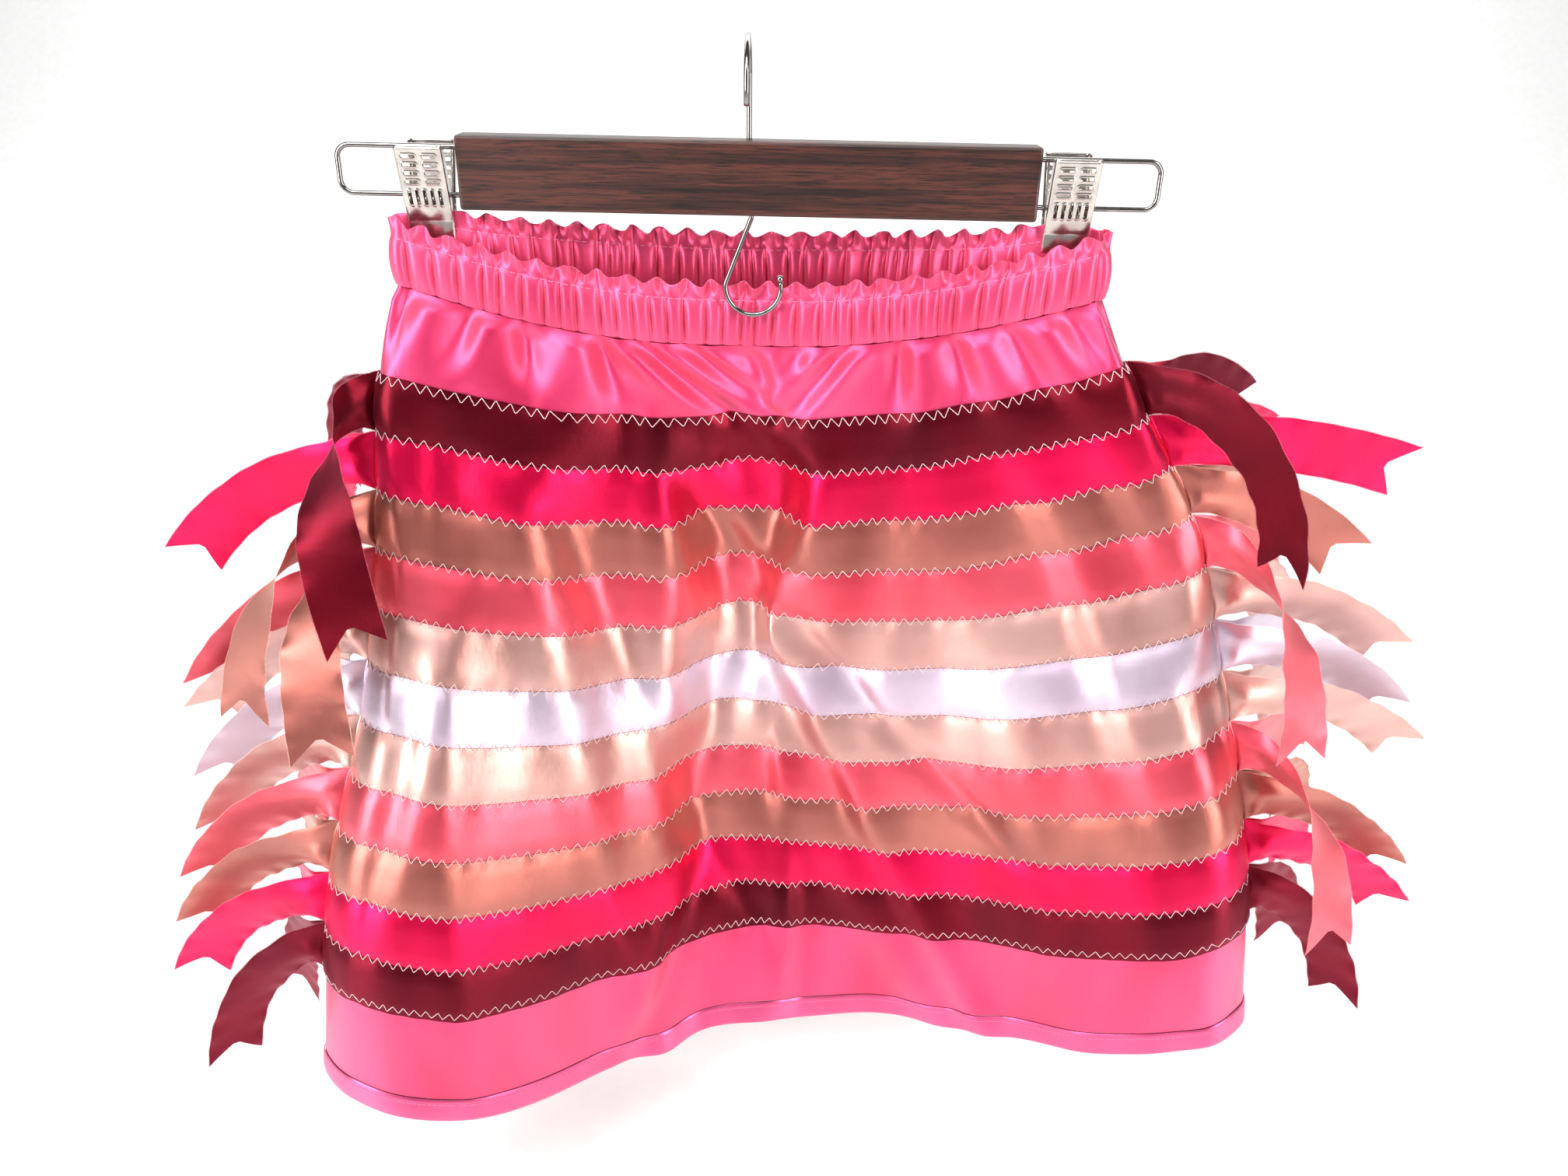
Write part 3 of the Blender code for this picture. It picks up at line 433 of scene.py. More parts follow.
def read_along(at, run, line):
    """Points of a line at distances along it, where run is each point's own distance."""
    return np.stack([np.interp(at, run, line[:, n]) for n in range(3)], 1)


def ribbon_lift(v):
    """How far a ribbon lies out of the panel, from one edge (0) to the other (1)."""
    return 0.55 + 0.75 * ramp(np.minimum(v, 1 - v) / 0.22) + 0.35 * np.sin(np.pi * v)


def relief(layer, share, down):
    """How far the gathers, flutes and puckers stand out of the form, mm."""
    share, down = np.broadcast_arrays(np.asarray(share, float), np.asarray(down, float))
    width = panel_width(down)
    first = ribbon_edges(share)[0]
    out = np.zeros(share.shape)
    for g in layer.gathers:
        start = ramp(down / 7.0) * 0.7 + 0.3
        fade = 1.0 - ramp((down - g.length * 0.45) / (g.length * 0.85))
        spread = g.width * (1.15 + down / 32.0)
        off = (share - g.share - g.drift * down / 100.0) * width / spread
        out = out + g.height * GATHER_GAIN * start * fade * np.exp(-off * off)
    for f in layer.flutes:
        run = ramp((down - f.top) / 45.0) * (1.0 - ramp((down - f.foot) / 60.0))
        off = (share - f.share - f.drift * (down - f.top) / 10.0) * width \
            / (f.width * FLUTE_SPREAD)
        out = out + f.height * FLUTE_GAIN * run * np.exp(-off * off)
    chance = np.random.default_rng(layer.seed)
    place = (down - first) / RIBBON_PITCH
    for join in range(RIBBONS + 1):
        phases = chance.uniform(0.0, math.tau, 4)
        near = np.exp(-((place - join) * RIBBON_PITCH / PUCKER_REACH)**2)
        arc = share * width
        uneven = 0.6 + 0.4 * np.sin(arc / 31.0 + phases[0]) * np.sin(arc / 47.0 + phases[1])
        ripple = np.sin(arc / 1.75 + phases[2] + 1.4 * np.sin(arc / 13.0)) \
            + 0.6 * np.sin(arc / 3.1 + phases[3])
        out = out + near * (uneven * ripple * PUCKER_HEIGHT - JOIN_DIP)
    calm = ramp(np.minimum(share, 1.0 - share) / 0.03)
    return out * (0.15 + 0.85 * calm)


# ---- mesh helpers ------------------------------------------------------------------------------
def world(points):
    """From the bar's frame in mm to the object's frame in metres."""
    return np.asarray(points, float).reshape(-1, 3) * MM + BAR_CENTRE


def add_mesh(name, points, faces, finish, uv=None, nodes=()):
    """Smooth-shaded piece from points in the bar's frame, riding on the object's one body."""
    mesh = bpy.data.meshes.new(name)
    mesh.from_pydata(world(points).tolist(), [], [tuple(int(i) for i in face) for face in faces])
    mesh.shade_smooth()
    if uv is not None:
        layer = mesh.uv_layers.new(name="cloth")
        corner = np.empty(len(mesh.loops), dtype=np.int32)
        mesh.loops.foreach_get("vertex_index", corner)
        layer.data.foreach_set("uv", np.asarray(uv, float).reshape(-1, 2)[corner].ravel())
    piece = bpy.data.objects.new(name, mesh)
    bpy.context.scene.collection.objects.link(piece)
    mesh.materials.append(finish)
    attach(piece, "root")
    if nodes:
        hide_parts(*nodes)
    return piece


def grid_faces(rows, columns, first=0, closed=False, flip=False):
    faces = []
    for i in range(rows - 1):
        for j in range(columns if closed else columns - 1):
            k = (j + 1) % columns
            a, b = first + i * columns + j, first + i * columns + k
            c, d = first + (i + 1) * columns + k, first + (i + 1) * columns + j
            faces.append((a, d, c, b) if flip else (a, b, c, d))
    return faces


def tubes(paths, radius, sides):
    """Points and faces of round threads or wires along several paths."""
    points, faces = [], []
    turn = np.arange(sides) * math.tau / sides
    for path in paths:
        path = np.asarray(path, float)
        run = unit(np.gradient(path, axis=0))
        guess = np.array([0.0, 1.0, 0.0]) if abs(run[0][1]) < 0.9 else np.array([1.0, 0.0, 0.0])
        frames = []
        for way in run:
            guess = unit(guess - way * np.dot(guess, way))
            frames.append((guess, np.cross(way, guess)))
        first = len(points)
        for place, (across, up) in zip(path, frames):
            points += list(place + radius * (np.cos(turn)[:, None] * across
                                             + np.sin(turn)[:, None] * up))
        faces += grid_faces(len(path), sides, first, closed=True)
        faces += [tuple(range(first + sides - 1, first - 1, -1)),
                  tuple(range(len(points) - sides, len(points)))]
    return points, faces


# ---- the cloth's pieces ------------------------------------------------------------------------
# Stations run down the cloth: 0 waist seam, 1 first ribbon's top, then one a ribbon, one for the
# hem panel's end and one for the hem band's.
LAST_RIBBON = 1 + RIBBONS
HEM_STATION = LAST_RIBBON + 1
END_STATION = LAST_RIBBON + 2


class Cloth:
    """One side of the skirt: its form as a fine grid, read at any share and station."""

    def __init__(self, layer):
        self.layer = layer
        self.shares = fine_shares(150)
        self.stations = np.concatenate([np.linspace(0, 1, 11)[:-1],
                                        np.linspace(1, LAST_RIBBON, RIBBONS * 5 + 1)[:-1],
                                        np.linspace(LAST_RIBBON, HEM_STATION, 9)[:-1],
                                        np.linspace(HEM_STATION, END_STATION, 4)])
        downs = np.array([self.down(self.shares, station) for station in self.stations])
        self.places = part_at_seams(cloth_grid(layer.folds, self.shares, downs))
        self.normals = grid_normals(self.places, layer.facing)

    def down(self, share, station):
        edges = np.array([np.zeros_like(share)] + ribbon_edges(share))
        station = np.broadcast_to(station, np.shape(share))
        low = np.clip(np.floor(station).astype(int), 0, END_STATION - 1)
        column = np.arange(edges.shape[1])
        return edges[low, column] + (edges[low + 1, column] - edges[low, column]) * (station - low)

    def width(self, station):
        """Length of the smooth cloth from seam to seam at a station."""
        line = self.read(self.shares, station, 0.0, 0.0)
        return float(np.sum(np.linalg.norm(np.diff(line, axis=0), axis=1)))

    def read(self, share, station, lift=0.0, crease=1.0):
        """Points on the creased cloth, lifted out of it along its normals."""
        share, station, lift = (part.ravel() for part in np.broadcast_arrays(share, station, lift))
        u = np.interp(share, self.shares, np.arange(len(self.shares)))
        v = np.interp(station, self.stations, np.arange(len(self.stations)))
        i = np.clip(v.astype(int), 0, len(self.stations) - 2)
        j = np.clip(u.astype(int), 0, len(self.shares) - 2)
        u, v = (u - j)[:, None], (v - i)[:, None]

        def mix(grid):
            return ((grid[i, j] * (1 - u) + grid[i, j + 1] * u) * (1 - v)
                    + (grid[i + 1, j] * (1 - u) + grid[i + 1, j + 1] * u) * v)

        out = relief(self.layer, share, self.down(share, station)) * crease + lift
        return mix(self.places) + unit(mix(self.normals)) * out[:, None]


def panel(cloth, finish):
    """The panel's one shell, from waist seam to hem band, under the ribbons too."""
    shares = fine_shares(250)
    stations = np.concatenate([np.linspace(0, 1, 27)[:-1],
                               np.linspace(1, LAST_RIBBON, RIBBONS * 4 + 1)[:-1],
                               np.linspace(LAST_RIBBON, HEM_STATION, 23)])
    share, station = np.meshgrid(shares, stations)
    under = (station > 1.02) & (station < LAST_RIBBON - 0.02)
    points = cloth.read(share, station, np.where(under, -0.2, 0.0))
    down = cloth.down(share.ravel(), station.ravel())
    arc = (share.ravel() - 0.5) * panel_width(down)
    name = cloth.layer.name
    piece = add_mesh("panel_" + name, points,
                     grid_faces(len(stations), len(shares), flip=cloth.layer.facing > 0),
                     finish, np.stack([arc, down], 1) * MM, [name + "_panel"])
    top, foot = cloth.width(0.0) * MM, cloth.width(HEM_STATION) * MM


def tail_run(tail, side, root, seam_down, facing):
    """Places, width ways, outward ways and half widths along a tail, from its root."""
    place, rows = root.copy(), []
    for k in range(TAIL_ROWS + 1):
        s = k / TAIL_ROWS
        ease = ramp(s / 0.18)
        azimuth = math.radians(tail.azimuth + tail.fan * s) * (0.25 + 0.75 * ease)
        slope = math.radians(tail.lift + (tail.droop - tail.lift) * s**tail.bend) * ease
        along = np.array([side * math.cos(slope) * math.cos(azimuth),
                          -math.cos(slope) * math.sin(azimuth), math.sin(slope)])
        up = unit(np.array([0.0, 0.0, 1.0]) - along * along[2])
        roll = math.radians(tail.roll) * min(1.0, s / 0.6)
        rolled = np.cross(up, along) * side * math.sin(roll) - up * math.cos(roll)
        rooted = unit(seam_down - along * np.dot(seam_down, along))
        width = unit(rooted + (rolled - rooted) * ramp(s / 0.2))
        if k:
            place = place + along * (tail.length / TAIL_ROWS)
        outer = np.cross(width, along) * (-side if facing > 0 else side)
        pinch = 1.0 - TAIL_PINCH * ramp(s / 0.08) * (1.0 - ramp((s - 0.1) / 0.4))
        rows.append((place.copy(), width, outer, [RIBBON_WIDTH / 2 * pinch]))
    return [np.array(column) for column in zip(*rows)]


def tail_points(tail, side, end, beside, facing, across, seed):
    """Grid of a tail's points outwards from its seam: rows along it, columns across."""
    root = end.mean(axis=0) + unit(beside[0] - end[0]) * 0.5
    places, widths, outers, halves = tail_run(tail, side, root, unit(end[-1] - end[0]), facing)
    chance = np.random.default_rng(seed)
    wave, curl = chance.uniform(0.4, 1.0), chance.uniform(-1.0, 1.0)
    phase, twist = chance.uniform(0, math.tau), chance.uniform(0, math.tau)
    v = 2 * across - 1
    grid = []
    for k in range(1, TAIL_ROWS + 1):
        # The V cut draws the last rows back, most in the middle.
        cut = NOTCH / tail.length * (1.0 - np.abs(v)) * max(0.0, (k / TAIL_ROWS - 0.72) / 0.28)
        s = k / TAIL_ROWS - cut
        at = s * TAIL_ROWS
        low = np.clip(at.astype(int), 0, TAIL_ROWS - 1)
        mix = (at - low)[:, None]
        place, width, outer, half = (part[low] * (1 - mix) + part[low + 1] * mix
                                     for part in (places, widths, outers, halves))
        cup = TAIL_CUP * (1 - v * v) * (1 - ramp((s - 0.05) / 0.5)) * ramp(s / 0.06) \
            + TAIL_CURL * curl * (1 - v * v) * ramp((s - 0.3) / 0.5)
        crimp = TAIL_CRIMP * np.sin(v * 5.0 + phase) * ramp(s / 0.05) \
            * (1 - ramp((s - 0.08) / 0.35))
        ruffle = TAIL_RUFFLE * wave * np.abs(v) ** 3 \
            * np.sin(s * tail.length / 2.6 + twist + v * 1.3)
        out = (cup + crimp + ruffle * ramp(s / 0.2))[:, None]
        row = place + unit(width) * (half * v[:, None]) + unit(outer) * out
        blend = ramp(k / 3.0)
        grid.append(row if blend >= 1 else (end + (row - end) * blend))
    return np.array(grid)


def ribbon(cloth, number, finish, edging):
    """One ribbon from tail tip to tail tip. Its tails' edges are added to edging."""
    layer = cloth.layer
    across = np.concatenate([[0.0, 0.035], np.linspace(0.1, 0.9, 8), [0.965, 1.0]])
    shares = fine_shares(230)
    margin = 0.12 / RIBBON_PITCH
    share, v = np.meshgrid(shares, across, indexing="ij")
    station = 1 + number + margin + (1 - 2 * margin) * v
    band = cloth.read(share, station, ribbon_lift(v)).reshape(len(shares), len(across), 3)
    parts = []
    for side, tails in ((-1, layer.left_tails), (1, layer.right_tails)):
        end, beside = (band[0], band[1]) if side < 0 else (band[-1], band[-2])
        seed = 100 * (layer.facing + 2) + 10 * number + side
        grid = tail_points(tails[number], side, end, beside, layer.facing, across, seed)
        parts.append(grid[::-1] if side < 0 else grid)
    strip = np.concatenate([parts[0], band, parts[1]])
    run = arc_lengths(strip[:, len(across) // 2])
    uv = np.stack([np.repeat(run[:, None], len(across), 1),
                   np.broadcast_to(across * RIBBON_WIDTH, (len(run), len(across)))], 2) * MM
    name = "ribbon_%s_%02d" % (layer.name, number + 1)
    piece = add_mesh("satin_" + name, strip,
                     grid_faces(len(strip), len(across), flip=layer.facing < 0),
                     finish, uv, [name])
    tips = len(parts[0])
    for part in (strip[:tips + 1], strip[-tips - 1:]):
        for column, beyond in ((0, 1), (-1, -2)):
            edging.append((part[:, column], unit(part[:, column] - part[:, beyond])))


def looped_edging(layer, row, edges, finish):
    """Picot loops along the tails' edges, standing out of them in their own plane."""
    paths = []
    for line, away in edges:
        run = arc_lengths(line)
        at = np.arange(0.0, run[-1], PICOT_STEP)
        tall = np.where(np.arange(len(at)) % 2 == 0, 0.0, PICOT_REACH)[:, None]
        paths.append(read_along(at, run, line) + read_along(at, run, away) * tall)
    points, faces = tubes(paths, PICOT_THREAD, 3)
    add_mesh("picot_%s_%s" % (layer.name, row), points, faces, finish)


def zigzag(cloth, finish):
    """The zigzag stitch over each join and along the first and last ribbon's edges."""
    chance = np.random.default_rng(cloth.layer.seed + 40)
    paths = []
    for join in range(RIBBONS + 1):
        # The first and last lines lie on their ribbon, not over a join.
        shift = {0: 2.1, RIBBONS: -3.4}.get(join, 0.0)
        width = panel_width(60.0 + RIBBON_PITCH * join)
        steps = int(width / ZIGZAG_STEP)
        share = (np.arange(steps + 1) + 0.5) / (steps + 1)
        share = share + chance.normal(0, 0.10, steps + 1) / steps
        side = np.where(np.arange(steps + 1) % 2 == 0, 1.0, -1.0)
        # Three points a side give the thread its rounded turns.
        near = np.stack([share - 0.10 / steps, share, share + 0.10 / steps], 1).ravel()
        high = np.stack([side * 0.92, side, side * 0.92], 1).ravel()
        reach = ZIGZAG_REACH * (1 + chance.normal(0, 0.05, len(high)))
        off = shift + high * reach
        station = 1 + join + off / RIBBON_PITCH
        lift = ribbon_lift(np.abs(off) / RIBBON_WIDTH) + 0.1
        paths.append(cloth.read(np.clip(near, 0.002, 0.998), station, lift))
    points, faces = tubes(paths, ZIGZAG_THREAD, 4)
    add_mesh("zigzag_" + cloth.layer.name, points, faces, finish)


def gather_calm(x):
    """0 where a clip grips the band, 1 where its gathers are free."""
    return ramp((np.abs(np.abs(x) - CLIP_X) - CLIP_HALF - 1.0) / 9.0)


def band_foot(cloth, count):
    """Points of the waist seam, the ways out of the band, and arc lengths along it."""
    shares = fine_shares(count)
    foot = cloth.read(shares, 0.0, 0.0, 0.0)
    run = np.gradient(foot, axis=0)
    run[:, 2] = 0.0
    out = unit(np.cross(run, [0.0, 0.0, 1.0]) * -cloth.layer.facing)
    return shares, foot, out, arc_lengths(foot)


def pleats(arc, length, seed):
    """Where an arc length lies in its pleat, 0 to 1, and that pleat's width."""
    chance = np.random.default_rng(seed)
    valleys = [-2.0]
    while valleys[-1] < length + 4:
        valleys.append(valleys[-1] + chance.uniform(PLEAT_FINEST, PLEAT_WIDEST))
    valleys = np.array(valleys)
    low = np.clip(np.searchsorted(valleys, arc, side="right") - 1, 0, len(valleys) - 2)
    width = valleys[low + 1] - valleys[low]
    return (arc - valleys[low]) / width, width


def waistband(cloth, finish, thread):
    """Casing with sharp-valleyed gathers on both walls, and a ruffled header over its stitches."""
    layer = cloth.layer
    shares, foot, out, arc = band_foot(cloth, 420)
    calm = ramp(np.minimum(shares, 1 - shares) / 0.025)
    if layer.facing > 0:
        calm = calm * gather_calm(foot[:, 0])
    top = BAND_CASING + BAND_HEADER
    # Heights up the outer wall (1), over the header's top edge (0) and down the inner wall (-1).
    climb = ([BAND_FOOT + h * (BAND_CASING - BAND_FOOT) / 12 for h in range(13)]
             + [BAND_CASING + h * BAND_HEADER / 7 for h in range(1, 7)] + [top])
    profile = ([(height, 1) for height in climb] + [(top + 0.25, 0)]
               + [(height, -1) for height in reversed(climb)])
    chance = np.random.default_rng(layer.seed + 70)
    bends = chance.uniform(0, math.tau, 4)
    curve = HEADER_WAVE * np.sin(arc / 1.45 + 1.6 * np.sin(arc / 9.0 + bends[0]) + bends[1]) \
        + 0.6 * np.sin(arc / 0.8 + bends[2])
    rise = HEADER_RISE * np.sin(arc / 1.9 + bends[3])
    rows = []
    for height, wall in profile:
        casing = np.clip(height / BAND_CASING, 0, 1)
        header = np.clip((height - BAND_CASING) / BAND_HEADER, 0, 1.1)
        drift = (height - 10.0) * 0.05 * np.sin(arc / 17.0 + bends[wall])
        at, width = pleats(arc + drift + (0 if wall > 0 else 2.3), arc[-1],
                           layer.seed + 80 + wall)
        crown = 1 - np.abs(2 * at - 1) ** 3.6
        swell = 0.30 + 0.70 * math.sin(math.pi * min(1.0, casing)) ** 0.6
        depth = np.sqrt(width / 6.5) * (crown * 3.0 - 2.1)
        if header > 0:
            swell *= max(0.0, 1 - header * 1.6)
        body = 0.75 + 1.15 * math.sin(math.pi * min(1.0, casing)) ** 0.7 if header == 0 else \
            0.5 - 0.28 * min(1.0, header)
        offset = wall * (body + depth * swell * calm) + curve * header * (0.25 + 0.75 * calm)
        lifted = height + rise * header * (0.3 + 0.7 * calm)
        rows.append(foot + out * offset[:, None] + np.array([0, 0, 1.0]) * lifted[:, None])
    rows = np.array(rows)
    side = 1 if layer.facing > 0 else -1
    heights = np.array([height for height, _ in profile])
    uv = np.stack(np.broadcast_arrays(arc[None, :], heights[:, None]), 2) * MM
    name = "waistband_" + layer.name
    piece = add_mesh("gathered_" + name, rows, grid_faces(len(profile), len(shares), flip=side < 0),
                     finish, uv, [name])
    cloth.width(0.0) * GATHER_FULLNESS * MM
    dashes = []
    for wall in (1, -1):
        row = rows[12 if wall > 0 else len(profile) - 13]
        for start in np.arange(4.0, arc[-1] - 6.0, 3.1):
            at = start + np.array([0.0, 0.7, 1.5, 2.2])
            sink = np.array([-0.15, 0.22, 0.22, -0.15])[:, None]
            dashes.append(read_along(at, arc, row) + read_along(at, arc, out * wall) * sink)
    points, faces = tubes(dashes, BAND_THREAD, 4)
    add_mesh("stitches_" + name, points, faces, thread)


def hem_band(cloth, finish, thread):
    """Folded hem: its outer wall, its rounded lower edge and its inner wall, with a stitch line."""
    layer = cloth.layer
    shares = fine_shares(230)
    profile = [(0.02, 0.35), (0.08, 0.75), (0.16, 0.85), (0.24, 0.7), (0.35, 0.85), (0.5, 0.9),
               (0.65, 0.9), (0.8, 0.9), (0.93, 0.8), (0.985, 0.45), (1.0, 0.0),
               (0.985, -0.45), (0.93, -0.75), (0.8, -0.8), (0.65, -0.8), (0.5, -0.8),
               (0.35, -0.8), (0.2, -0.75), (0.08, -0.6), (0.02, -0.3)]
    rows = np.array([cloth.read(shares, HEM_STATION + part, lift) for part, lift in profile])
    across = np.array([part * HEM_BAND * (1 if lift >= 0 else -1) for part, lift in profile])
    arc = (shares - 0.5) * panel_width(ribbon_edges(0.5)[-1])
    uv = np.stack(np.broadcast_arrays(arc[None, :], across[:, None]), 2) * MM
    name = "hem_band_" + layer.name
    piece = add_mesh("folded_" + name, rows,
                     grid_faces(len(profile), len(shares), flip=layer.facing > 0),
                     finish, uv, [name])
    cloth.width(HEM_STATION + 0.5) * MM
    dashes = []
    width = arc[-1] - arc[0]
    for start in np.arange(3.0, width - 5.0, 2.6):
        share = (start + np.array([0.0, 0.6, 1.3, 1.9])) / width
        dashes.append(cloth.read(share, HEM_STATION + 0.24, np.array([0.55, 0.95, 0.95, 0.55])))
    points, faces = tubes(dashes, HEM_THREAD, 4)
    add_mesh("stitches_" + name, points, faces, thread)


# ---- the hanger --------------------------------------------------------------------------------
def arc_points(centre, radius, start, end, steps, first, second):
    """Points on an arc, from start to end degrees measured from first towards second."""
    turn = np.radians(np.linspace(start, end, steps + 1))[:, None]
    return centre + (np.cos(turn) * first + np.sin(turn) * second) * radius


def wires(finish):
    """Both wire loops, the swivel hook above the bar and the J hook with its knob below it."""
    right, forward, up = np.eye(3)[0], -np.eye(3)[1], np.eye(3)[2]
    for side, name in ((-1, "left"), (1, "right")):
        reach = HANGER_WIDTH / 2 - WIRE / 2
        inside = side * (BAR_LENGTH / 2 - WIRE_BURIED)
        straight = np.array([[inside + side * step, 0, WIRE_RISE]
                             for step in (0, 5, 10, 20, 30, 40)])
        path = [straight]
        for sign, start, end in ((1, 90, 0), (-1, 0, -90)):
            centre = np.array([side * (reach - LOOP_CORNER), 0, sign * (WIRE_RISE - LOOP_CORNER)])
            path.append(arc_points(centre, LOOP_CORNER, start, end, 12, right * side, up))
        path.append(straight[::-1] * (1, 1, -1))
        points, faces = tubes([np.concatenate(path)], WIRE / 2, WIRE_SIDES)
        add_mesh("wire_" + name, points, faces, finish, nodes=["wire_loop_" + name])

    crook = np.array([0.0, 0.0, CROOK_HEIGHT]) + forward * CROOK_RADIUS
    shank = np.array([[0, 0, BAR_HEIGHT / 2 - WIRE_BURIED], [0, 0, BAR_HEIGHT / 2], [0, 0, 25.0]])
    path = np.concatenate([shank, arc_points(crook, CROOK_RADIUS, 180, 180 - CROOK_END, 48,
                                             forward, up)])
    points, faces = tubes([path], WIRE / 2, WIRE_SIDES)
    add_mesh("swivel_hook", points, faces, finish, nodes=["top_hook"])

    bowl = np.array([J_BOWL_X, 0, J_BOWL_Z])
    path = np.concatenate([np.array([[J_TOP_X, 0, -BAR_HEIGHT / 2 + WIRE_BURIED],
                                     [J_TOP_X, 0, -BAR_HEIGHT / 2 + 2],
                                     [J_TOP_X, 0, -BAR_HEIGHT / 2 - 1.5]]),
                           arc_points(bowl, J_RADIUS, -188, 10, 48, right, up)])
    points, faces = tubes([path], WIRE / 2, WIRE_SIDES)
    # The knob that ends the hook: rings swollen round the last point.
    run = unit(path[-1] - path[-2])
    across, over = np.array([0.0, 1.0, 0.0]), np.cross(run, [0.0, 1.0, 0.0])
    turn = np.arange(WIRE_SIDES) * math.tau / WIRE_SIDES
    first, rings = len(points), 11
    for angle in np.radians(np.linspace(12, 168, rings)):
        centre = path[-1] + run * J_BALL * (1 - math.cos(angle))
        points += list(centre + J_BALL * math.sin(angle) * (np.cos(turn)[:, None] * across
                                                            + np.sin(turn)[:, None] * over))
    faces += grid_faces(rings, WIRE_SIDES, first, closed=True)
    faces += [tuple(range(first + WIRE_SIDES - 1, first - 1, -1)),
              tuple(range(len(points) - WIRE_SIDES, len(points)))]
    add_mesh("j_hook", points, faces, finish, nodes=["lower_hook"])


def springs(finish):
    """A coil round the lower wire inside each clip."""
    for side, name in ((-1, "left"), (1, "right")):
        turn = np.linspace(0, SPRING_TURNS * math.tau, SPRING_TURNS * 20 + 1)
        radius = SPRING_OUTER - 0.5
        coil = np.stack([side * CLIP_X + (turn / turn[-1] - 0.5) * (SPRING_LENGTH - 1.0),
                         radius * np.cos(turn), -WIRE_RISE + radius * np.sin(turn)], 1)
        points, faces = tubes([coil], 0.5, 8)
        add_mesh("spring_" + name, points, faces, finish,
                 nodes=["clip_spring_" + name])


def clip_away(height):
    """How far a plate stands from the middle of the clip at a height."""
    levels = [level for level, _ in CLIP_PROFILE][::-1]
    return np.interp(height, levels, [away for _, away in CLIP_PROFILE][::-1])


def clip_plate(side, facing, name, finish):
    """Pressed plate: rolled top, rows of round-ended slots with raised rims, and folded sides."""
    half = CLIP_HALF
    wall = CLIP_SHEET / 2

    def place(x, height, lift=0.0):
        return np.array([side * CLIP_X + x, facing * (clip_away(height) + lift), height])

    # The flat of the plate as a fine grid, with each slot's cells left out and its rim raised.
    xs = np.linspace(-half + 1.0, half - 1.0, 67)
    heights = np.concatenate([np.linspace(10.2, -13.5, 96), np.linspace(-13.8, -26.2, 26)])
    slots = [(sign * 4.1, (top + foot) / 2, 2.75, (top - foot) / 2)
             for top, foot in ((7.1, 5.9), (3.8, 2.6), (0.5, -0.7), (-2.8, -4.0))
             for sign in (-1, 1)]
    slots += [(step * 3.0, -9.6, 0.62, 2.9) for step in range(-2, 3)]

    def slot_distance(x, height):
        """Distance outside the nearest slot's round-ended outline; negative inside it."""
        best = np.full(np.shape(x), 9.0)
        for cx, cz, hx, hz in slots:
            round_end = min(hx, hz)
            dx = np.maximum(np.abs(x - cx) - (hx - round_end), 0.0)
            dz = np.maximum(np.abs(height - cz) - (hz - round_end), 0.0)
            best = np.minimum(best, np.hypot(dx, dz) - round_end)
        return best

    gx, gz = np.meshgrid(xs, heights)
    near = slot_distance(gx, gz)
    rim = 0.28 * np.exp(-((near - 0.35) / 0.35)**2)
    grid = np.array([[place(x, z, wall + lift) for x, z, lift in zip(*rows)]
                     for rows in zip(gx, gz, rim)])
    points, faces = [], []
    keep = near > 0.0

    def sheet(grid, keep, flip):
        """Add a grid's points, and its faces whose corners are all kept."""
        first = len(points)
        points.extend(grid.reshape(-1, 3))
        for face in grid_faces(*grid.shape[:2], first, flip=flip):
            if all(keep.ravel()[index - first] for index in face):
                faces.append(face)

    sheet(grid, keep, facing > 0)
    inner = grid.copy()
    inner[:, :, 1] = np.array([[facing * (clip_away(z) - wall) for _ in xs] for z in heights])
    sheet(inner, keep, facing < 0)
    # Folded sides: a rounded bend and a flange towards the middle of the clip.
    for edge in (-1, 1):
        rows = []
        for z in heights:
            fold = min(CLIP_FLANGE, clip_away(z) - CLIP_FLANGE_GAP) if z > CLIP_FLANGE_FOOT else 1.2
            profile = [(half - 1.0, wall), (half - 0.45, wall - 0.12), (half - 0.1, wall - 0.5),
                       (half, wall - 1.0), (half, -fold), (half - 2 * wall, -fold),
                       (half - 2 * wall, -0.9), (half - 1.0, -wall)]
            rows.append([place(edge * x, z, lift) for x, lift in profile])
        rows = np.array(rows)
        sheet(rows, np.ones(rows.shape[:2], bool), (facing > 0) != (edge < 0))
    # Rolled top edge.
    top = heights[0]
    roll = tubes([[place(x, top, 0.0) for x in np.linspace(-half + 0.3, half - 0.3, 9)]], 0.62, 12)
    faces += [tuple(len(points) + index for index in face) for face in roll[1]]
    points.extend(roll[0])
    label = "%s_%s" % (name, "front" if facing < 0 else "back")
    add_mesh("plate_" + label, points, faces, finish, nodes=["clip_" + label])


# ---- materials ---------------------------------------------------------------------------------
def linear(red, green, blue):
    """Linear colour from 0 to 255 display values."""
    return tuple((c / 255 / 12.92) if c / 255 <= 0.04045 else ((c / 255 + 0.055) / 1.055) ** 2.4
                 for c in (red, green, blue)) + (1.0,)


